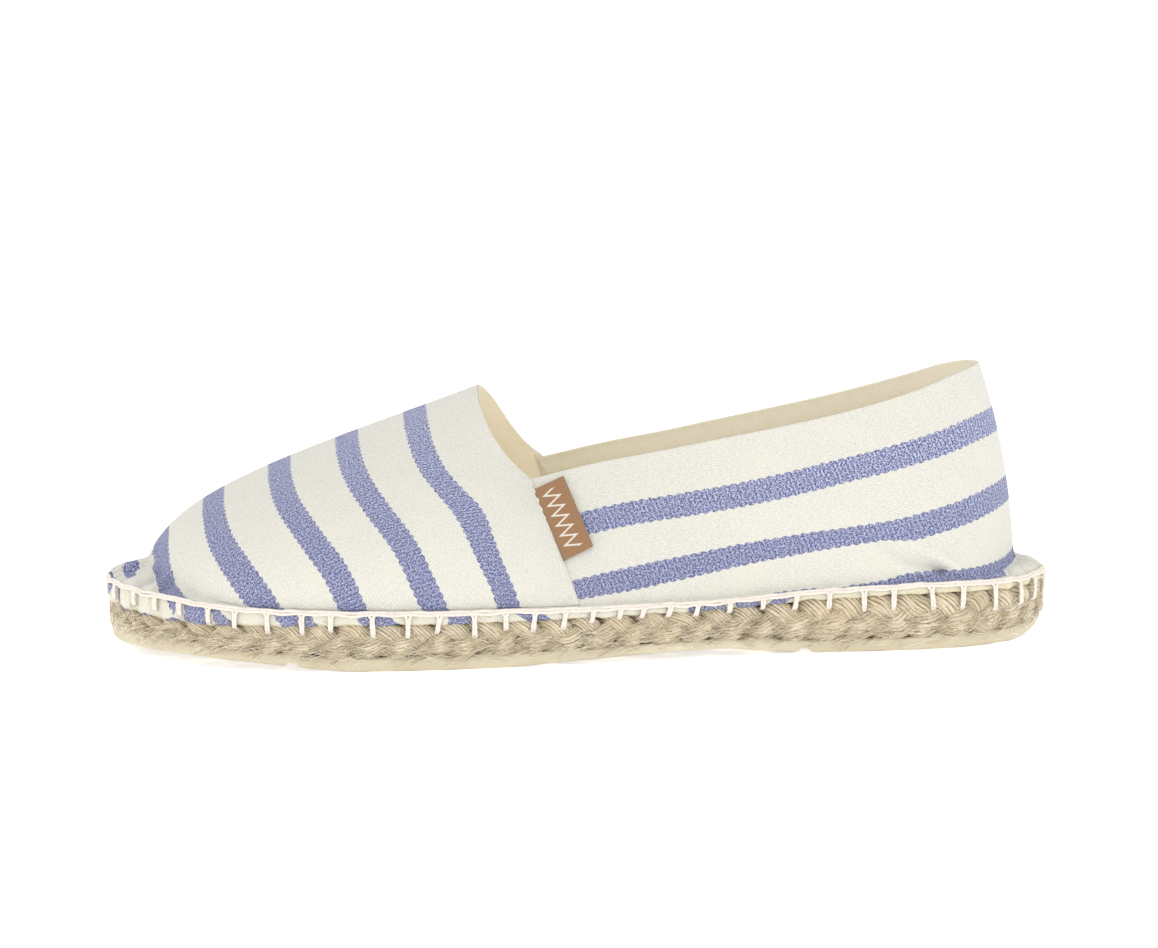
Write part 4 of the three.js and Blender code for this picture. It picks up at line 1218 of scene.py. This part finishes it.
def quarter_piece():
    """The wall's ribs, the ledge and the hem in one grid, like the vamp's. The columns before its first
    and after its last seam follow the vamp's wall, one sheet further in."""
    share = seam_columns(400, 0.6)
    climb = opening_rows(60)
    under = UNDERLAP / EDGE_LENGTH / (1 + outer_seam - inner_seam)
    lap_share = np.linspace(1, 0, 9)[:-1] * under
    outer_lap = 1 - lap_share
    inner_lap = lap_share[::-1]
    s_parts = [front_stations(outer_lap), back_stations(share), front_stations(inner_lap)]
    walls = [front_wall(outer_lap, climb), back_wall(share, climb), front_wall(inner_lap, climb)]
    grids = [np.concatenate([wall, edge_rows(s)]) for wall, s in zip(walls, s_parts)]
    grid = np.concatenate(grids, axis=1)
    foot = len(climb) - 1
    grid = softened(grid, foot - 4, len(grid) - 1, 5)
    normals = outward_normals(grid)
    collar_run = np.r_[outer_lap - 1, share, 1 + inner_lap] * COLLAR_LENGTH
    drop = run_along(grid, 0)
    whole = np.r_[0 * outer_lap, np.minimum(share, 1 - share), 0 * inner_lap]
    first, second, narrowing = (smooth_column(QUARTER_STRIPES, k)(whole) for k in range(1, 4))
    half_stripe = STRIPE_WIDTH / 2
    heights = grid[..., 2]
    wide = SimpleNamespace(**{
        key: np.broadcast_to(np.concatenate([getattr(s, key) for s in s_parts]), heights.shape)
        for key in ("share", "rim", "hem_foot", "to_toe", "to_heel")
    })
    nearer_run = np.minimum(wide.share, 1 - wide.share) * EDGE_LENGTH
    below = np.clip(np.arange(len(grid)) - foot, 0, 20)[:, None]
    third = drop - drop[foot] + smooth_column(THIRD_STRIPE, 1)(nearer_run)
    third -= 12 * below * eased(wide.to_heel, THIRD_END_RUN)
    blue = np.max([half_stripe - np.abs(drop - first), half_stripe * narrowing - np.abs(drop - second), third],
                  axis=0)
    hem = np.arange(len(grid)) >= foot + 11
    blue[hem] = hem_blue_depth(wide, heights)[hem]
    lowest = np.arange(len(grid)) >= len(grid) - 1
    aged = hem_age(len(grid), foot) + 0.7 * (hem[:, None] + lowest[:, None]) * eased(wide.to_heel, AGED_RUN)
    lapped = np.zeros(grid.shape[1])
    lapped[:len(outer_lap)] = 1
    lapped[len(grid[0]) - len(inner_lap):] = 1
    plain_half = CANVAS / 2 * edge_taper(grid)
    half = mixed(plain_half, UNDERLAP_HALF, lapped)
    middle = mixed(-plain_half, -CANVAS + UNDERLAP_HALF + 0.05, lapped)
    pleat, fold = pleats(wide, ledge_share(len(grid), foot), HEEL_PLEATS)
    crumple, crease_shade = crease(grid)
    pucker = (puckers(wide, np.maximum(heights - wide.rim, 0)) + pleat) * (1 - lapped)
    along = np.broadcast_to(collar_run, heights.shape)
    # The quarter's lining glows a little: painted light that brightens its shaded inside.
    finishes = [bpy.data.materials["striped_canvas"], twill_finish("quarter_lining", 0.1)]
    cloth_map = np.stack([drop, along * 1.07], -1)
    marks = {"blue": blue, "fold": fold * (1 - lapped) + crease_shade, "aged": aged}
    return thick_sheet("quarter", grid, normals, middle + pucker + crumple, half, border_distance(grid),
                       finishes, cloth_map, marks)


quarter = quarter_piece()
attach(quarter, "root")
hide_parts("upper")

# The stitching: thick two-ply cotton. A chain runs along the top of the hem, and from each of its knots a
# double thread goes down over hem and rope and in between the strands. Small stitches of thinner thread
# hold the two side seams.
CHAIN_RADIUS = 0.42
LEG_RADIUS = 0.4
SEAM_THREAD = 0.24
SEAM_STITCH = 1.7
SEAM_GAP = 2.7
SEAM_MARGIN = 2.2


def thread_finish():
    """Cream cotton thread: slanting plies and a soft nap."""
    material, start, shader = new_finish("thread", 0.8, 0.2)
    cloth = start.node("UVMap", {"uv_map": "cloth"})
    along = start.node("SeparateXYZ", {}, {0: cloth}, 0)
    around = start.node("SeparateXYZ", {}, {0: cloth}, 1)
    plies = ((along * 0.5 + around) * (2 * math.pi)).math("SINE")
    nap = start.noise(start.stretched(cloth, 1.2, 7.0, 1), 1.0, 3.0)
    body = plies.between(-1.4, 0.2).tint(paint(216, 207, 196), paint(227, 219, 209))
    connect((nap.between(0.5, 0.8) * 0.4).tint(body, paint(217, 208, 193)), shader, "Base Color")
    raise_surface(start, shader, plies * 0.15 + nap * 0.5 + 0.5, 0.00015, 0.5)
    return material


def tubes(paths, radii, sides=8):
    """Round tubes along many paths at once: a ring of points across each path at each of its joints.
    paths is tubes by joints by three, and radii tubes by joints."""
    ahead = np.gradient(paths, axis=1)
    ahead /= np.maximum(np.linalg.norm(ahead, axis=-1, keepdims=True), 1e-9)
    aside = np.cross(ahead, np.array([0.31, 0.17, 0.93]))
    aside /= np.maximum(np.linalg.norm(aside, axis=-1, keepdims=True), 1e-9)
    up = np.cross(ahead, aside)
    turn = 2 * np.pi * np.arange(sides) / sides
    ring = aside[:, :, None] * np.cos(turn)[:, None] + up[:, :, None] * np.sin(turn)[:, None]
    points = paths[:, :, None] + ring * radii[:, :, None, None]
    count, joints = paths.shape[:2]
    single = quads(joints, sides, wrap_columns=True)
    faces = (single[None] + (np.arange(count) * joints * sides)[:, None, None]).reshape(-1, 4)
    run = np.concatenate([np.zeros((count, 1)), np.cumsum(np.linalg.norm(np.diff(paths, axis=1), axis=-1), 1)], 1)
    cloth_map = np.stack(np.broadcast_arrays(run[:, :, None], np.arange(sides) / sides), -1)
    return points.reshape(-1, 3), faces, cloth_map.reshape(-1, 2)


def edge_thread(run, inset, below):
    """Points along the sole's edge, outside it by minus inset and below the top of the canvas edge. They
    ride on the puckers of the hem and follow the slope of the heel."""
    s = stations(np.mod(run / EDGE_LENGTH, 1))
    on_pucker = np.maximum(puckers(s, 0 * run), 0) * (1 - 0.5 * np.clip(below / 3, 0, 1))
    round_rim = HEEL_RIM * eased(s.to_heel, HEEL_SLANT_RUN) * np.clip(1 - below / 2.5, 0, 1)
    return inside(s, inset - on_pucker + 0.8 * round_rim + heel_slant(s, s.rim - below),
                  s.rim - below - 0.8 * round_rim)


def stitch_tubes():
    """The chain is two threads round the edge, the lower one sagging between the knots. Each leg is two
    threads that leave the chain to either side, meet and go down together."""
    steps = 1150
    run = np.linspace(0, EDGE_LENGTH, steps + 1)
    phase = stitch_phase(run / EDGE_LENGTH)
    sag = np.sin(np.pi * phase) ** 2
    wobble = uneven(run / EDGE_LENGTH, 130, 21)
    stray = uneven(run / EDGE_LENGTH, 60, 22)
    upper = edge_thread(run, -0.3 + 0.12 * wobble, 0.25 + 0.15 * wobble + 0.1 * stray)
    lower = edge_thread(run, -0.55 - 0.1 * wobble, 0.8 + 0.15 * sag * (1 + stray) + 0.12 * stray)
    chain = np.stack([upper, lower])
    parts = [tubes(chain, np.full(chain.shape[:2], CHAIN_RADIUS))]
    t = np.linspace(0, 1, 15)
    place, lean, length = (stitches[:, k, None] for k in range(3))
    for side in (-1, 1):
        spread = side * (0.29 + 0.55 * eased(t, 0.2) + 0.05 * np.sin(2 * np.pi * (t + 0.37 * place)))
        run = place + lean * t + spread - side * 0.1 * eased(1 - t, 0.2)
        inset = -0.55 - 0.35 * np.sin(np.pi * np.clip(t * 1.1, 0, 1)) ** 0.6 + 2 * eased(1 - t, 0.14)
        below = 0.75 + t**1.1 * length
        legs = edge_thread(run, inset + 0 * place, below)
        parts.append(tubes(legs, LEG_RADIUS * (1 + 0 * place * t)))
    return parts


def seam_tubes():
    """A row of short stitches down each side seam, just inside the vamp's rear edge. Each dips into the
    cloth at its ends."""
    parts = []
    margin = SEAM_MARGIN / (EDGE_LENGTH * (1 + outer_seam - inner_seam))
    for share in (1 - margin, margin):
        climb = np.linspace(1, 0, 400)
        around = np.array([share - 0.002, share, share + 0.002])
        wall = front_wall(around, climb)
        normals = outward_normals(wall)[:, 1]
        line = wall[:, 1]
        run = run_along(line[:, None], 0)[:, 0]
        starts = np.arange(1.4, run[-1] - SEAM_STITCH, SEAM_GAP)
        t = np.linspace(0, 1, 7)
        where = starts[:, None] + SEAM_STITCH * t
        lift = FRONT_LAP - 0.3 + 0.42 * np.sin(np.pi * t) ** 0.5
        path = np.stack([np.interp(where, run, line[:, k]) for k in range(3)], -1)
        out = np.stack([np.interp(where, run, normals[:, k]) for k in range(3)], -1)
        paths = path + out * lift[None, :, None]
        parts.append(tubes(paths, SEAM_THREAD * (1 + 0 * where), 6))
    return parts


def joined(parts):
    """Several meshes' points, faces and maps in one."""
    starts = np.r_[0, np.cumsum([len(points) for points, *_ in parts])[:-1]]
    points = np.concatenate([part[0] for part in parts])
    faces = np.concatenate([part[1] + start for part, start in zip(parts, starts)])
    return points, faces, np.concatenate([part[2] for part in parts])


thread = thread_finish()
for name, parts in (("edge_stitching", stitch_tubes()), ("seam_stitching", seam_tubes())):
    points, faces, cloth_map = joined(parts)
    stitching = new_piece(name, points, faces, [thread], cloth_map)
    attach(stitching, "root")

# The side tab: a folded brown woven tape caught in the outer seam. It carries no words, only a plain
# woven zigzag in white.
TAB_WIDTH = 9.5
TAB_LENGTH = 18.7
TAB_DROP = 3.2
TAB_FRONT = -0.65
TAB_HALF = 0.3
TAB_LIFT = 0.95


def tab_finish():
    """Brown woven tape with fine cross ribs and a narrow white zigzag down its middle."""
    material, start, shader = new_finish("brown_tape", 0.8, 0.15)
    cloth = start.node("UVMap", {"uv_map": "cloth"})
    across = start.node("SeparateXYZ", {}, {0: cloth}, 0)
    along = start.node("SeparateXYZ", {}, {0: cloth}, 1)
    ribs = (along * (2 * math.pi / 0.42)).math("SINE")
    warp = (across * (2 * math.pi / 0.34)).math("SINE")
    mottle = start.noise(cloth, 1.3, 3.0)
    relief = ribs * warp * 0.3 + 0.5
    body = relief.between(0.2, 0.8).tint(paint(134, 97, 66), paint(160, 124, 90))
    brown = (mottle.between(0.45, 0.75) * 0.4).tint(body, paint(143, 106, 76))
    zigzag = (along * (1 / 2.6)).math("PINGPONG", 0.5) * 7.6
    line = ((across - TAB_WIDTH / 2) + 1.9 - zigzag).math("ABSOLUTE")
    inside_ends = along.between(1.6, 1.7) * (1 - along.between(TAB_LENGTH - 1.7, TAB_LENGTH - 1.6))
    white = (1 - line.between(0.5, 0.8)) * inside_ends
    connect(white.tint(brown, paint(214, 206, 194)), shader, "Base Color")
    raise_surface(start, shader, relief + white * 0.5, 0.00012, 0.7)
    return material


def wall_spots(x, z):
    """The points of the quarter's outer wall at given x and z, found by Newton's steps on its two shares,
    and the unit vectors that stand on the wall there."""
    share = np.full(x.size, 0.05)
    climb = np.full(x.size, 0.6)
    probe = 1e-3

    def spot(u, v):
        foot_points = ribs(back_stations(u), collar(u), np.ones_like(u), np.array([0.0, 1 / 3, 2 / 3, 1.0]))
        p0, p1, p2, p3 = foot_points
        first = (-5 * p0 + 18 * p1 - 9 * p2 + 2 * p3) / 6
        second = (2 * p0 - 9 * p1 + 18 * p2 - 5 * p3) / 6
        v = v[:, None]
        rest = 1 - v
        return rest**3 * p0 + 3 * rest**2 * v * first + 3 * rest * v * v * second + v**3 * p3

    for _ in range(12):
        here = spot(share, climb)
        a = (spot(share + probe, climb) - here) / probe
        b = (spot(share, climb + probe) - here) / probe
        scale = a[:, 0] * b[:, 2] - b[:, 0] * a[:, 2]
        dx = x - here[:, 0]
        dz = z - here[:, 2]
        share = np.clip(share + (dx * b[:, 2] - dz * b[:, 0]) / scale, 0, 0.4)
        climb = np.clip(climb + (a[:, 0] * dz - a[:, 2] * dx) / scale, 0, 1)
    out = np.cross(a, b)
    return spot(share, climb), out / np.linalg.norm(out, axis=1, keepdims=True)


def tab_piece():
    """A thick sheet on the quarter's wall, straight in the side view, its long side on the seam. It stands
    off a little more towards its free rear edge and lower corner."""
    seam = front_wall(np.array([1.0]), np.array([1.0, 0.0]))[:, 0]
    down = (seam[1] - seam[0]) * (1, 0, 1)
    down /= np.linalg.norm(down)
    rear = np.array([down[2], 0, -down[0]])
    rows = np.r_[0, 0.15, 0.4, np.linspace(0.8, TAB_LENGTH - 0.8, 40), TAB_LENGTH - np.array([0.4, 0.15, 0])]
    columns = np.r_[0, 0.15, 0.4, np.linspace(0.8, TAB_WIDTH - 0.8, 20), TAB_WIDTH - np.array([0.4, 0.15, 0])]
    drop, reach = np.meshgrid(rows, columns, indexing="ij")
    flat = seam[0] + down * (TAB_DROP + drop)[..., None] + rear * (TAB_FRONT + reach)[..., None]
    points, out = wall_spots(flat[..., 0].ravel(), flat[..., 2].ravel())
    grid = points.reshape(flat.shape)
    normals = out.reshape(flat.shape)
    curl = 0.5 * (reach / TAB_WIDTH) ** 3 * (0.4 + drop / TAB_LENGTH)
    middle = TAB_LIFT + curl
    half = np.full(middle.shape, TAB_HALF)
    border = np.min([drop, TAB_LENGTH - drop, reach, TAB_WIDTH - reach], axis=0)
    cloth_map = np.stack([reach, drop], -1)
    finish = tab_finish()
    flipped = grid[:, ::-1]
    return thick_sheet("side_tab", flipped, normals[:, ::-1], middle[:, ::-1], half, border[:, ::-1],
                       [finish, finish], cloth_map[:, ::-1], {})


side_tab = tab_piece()
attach(side_tab, "root")
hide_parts("side_label")

# The setting: a plain white floor, a bright even studio and a long lens low beside the shoe's outer side,
# turned slightly towards the heel.
CAMERA_AZIMUTH = math.radians(177.5)
CAMERA_HEIGHT = math.radians(7.5)
CAMERA_ROLL = math.radians(1)
CAMERA_DISTANCE = 1.5
CAMERA_TARGET = np.array([-0.0008, 0, 0.045])
LENS = 174.6
SENSOR = 36


def camera_from(azimuth, height, roll):
    """A camera that looks at the target: its back is the way to it, its right side is level, and both it
    and the way up are then turned by the roll."""
    back = np.array([math.sin(azimuth) * math.cos(height), -math.cos(azimuth) * math.cos(height),
                     math.sin(height)])
    right = np.cross([0, 0, 1.0], back)
    right /= np.linalg.norm(right)
    up = np.cross(back, right)
    x_axis = math.cos(roll) * right - math.sin(roll) * up
    y_axis = math.sin(roll) * right + math.cos(roll) * up
    data = bpy.data.cameras.new("camera")
    data.lens = LENS
    data.sensor_width = SENSOR
    data.sensor_fit = "HORIZONTAL"
    data.clip_start = 0.01
    camera = bpy.data.objects.new("camera", data)
    bpy.context.scene.collection.objects.link(camera)
    matrix = np.eye(4)
    matrix[:3, 0] = x_axis
    matrix[:3, 1] = y_axis
    matrix[:3, 2] = back
    matrix[:3, 3] = CAMERA_TARGET + CAMERA_DISTANCE * back
    camera.matrix_world = Matrix(matrix.tolist())
    return camera


bpy.context.scene.camera = camera_from(CAMERA_AZIMUTH, CAMERA_HEIGHT, CAMERA_ROLL)


# A wide overcast light from above the camera, turned to it by its azimuth and height.
LIGHT_AZIMUTH = math.radians(174)
LIGHT_HEIGHT = math.radians(27)
LIGHT_SPREAD = math.radians(60)
LIGHT_POWER = 0.42
WORLD_POWER = 1.1
FLOOR_GLOW = 0.6

light = bpy.data.lights.new("overcast", "SUN")
light.energy = LIGHT_POWER
light.angle = LIGHT_SPREAD
lamp = bpy.data.objects.new("overcast", light)
bpy.context.scene.collection.objects.link(lamp)
lamp.rotation_euler = (math.pi / 2 - LIGHT_HEIGHT, 0, LIGHT_AZIMUTH)
lamp.location = (0, 1, 1)

world = bpy.data.worlds.new("studio")
world.use_nodes = True
world.node_tree.nodes["Background"].inputs["Color"].default_value = (1, 1, 1, 1)
world.node_tree.nodes["Background"].inputs["Strength"].default_value = WORLD_POWER
bpy.context.scene.world = world
bpy.context.scene.view_settings.view_transform = "Standard"

floor_mesh = bpy.data.meshes.new("floor")
floor_mesh.from_pydata([(-6, -6, 0), (6, -6, 0), (6, 6, 0), (-6, 6, 0)], [], [(0, 1, 2, 3)])
floor_finish, floor_start, floor_shader = new_finish("white_floor", 0.9)
floor_shader.inputs["Base Color"].default_value = (0.95, 0.95, 0.95, 1)
floor_shader.inputs["Emission Color"].default_value = (1, 1, 1, 1)
floor_shader.inputs["Emission Strength"].default_value = FLOOR_GLOW
floor_mesh.materials.append(floor_finish)
floor = bpy.data.objects.new("floor", floor_mesh)
bpy.context.scene.collection.objects.link(floor)
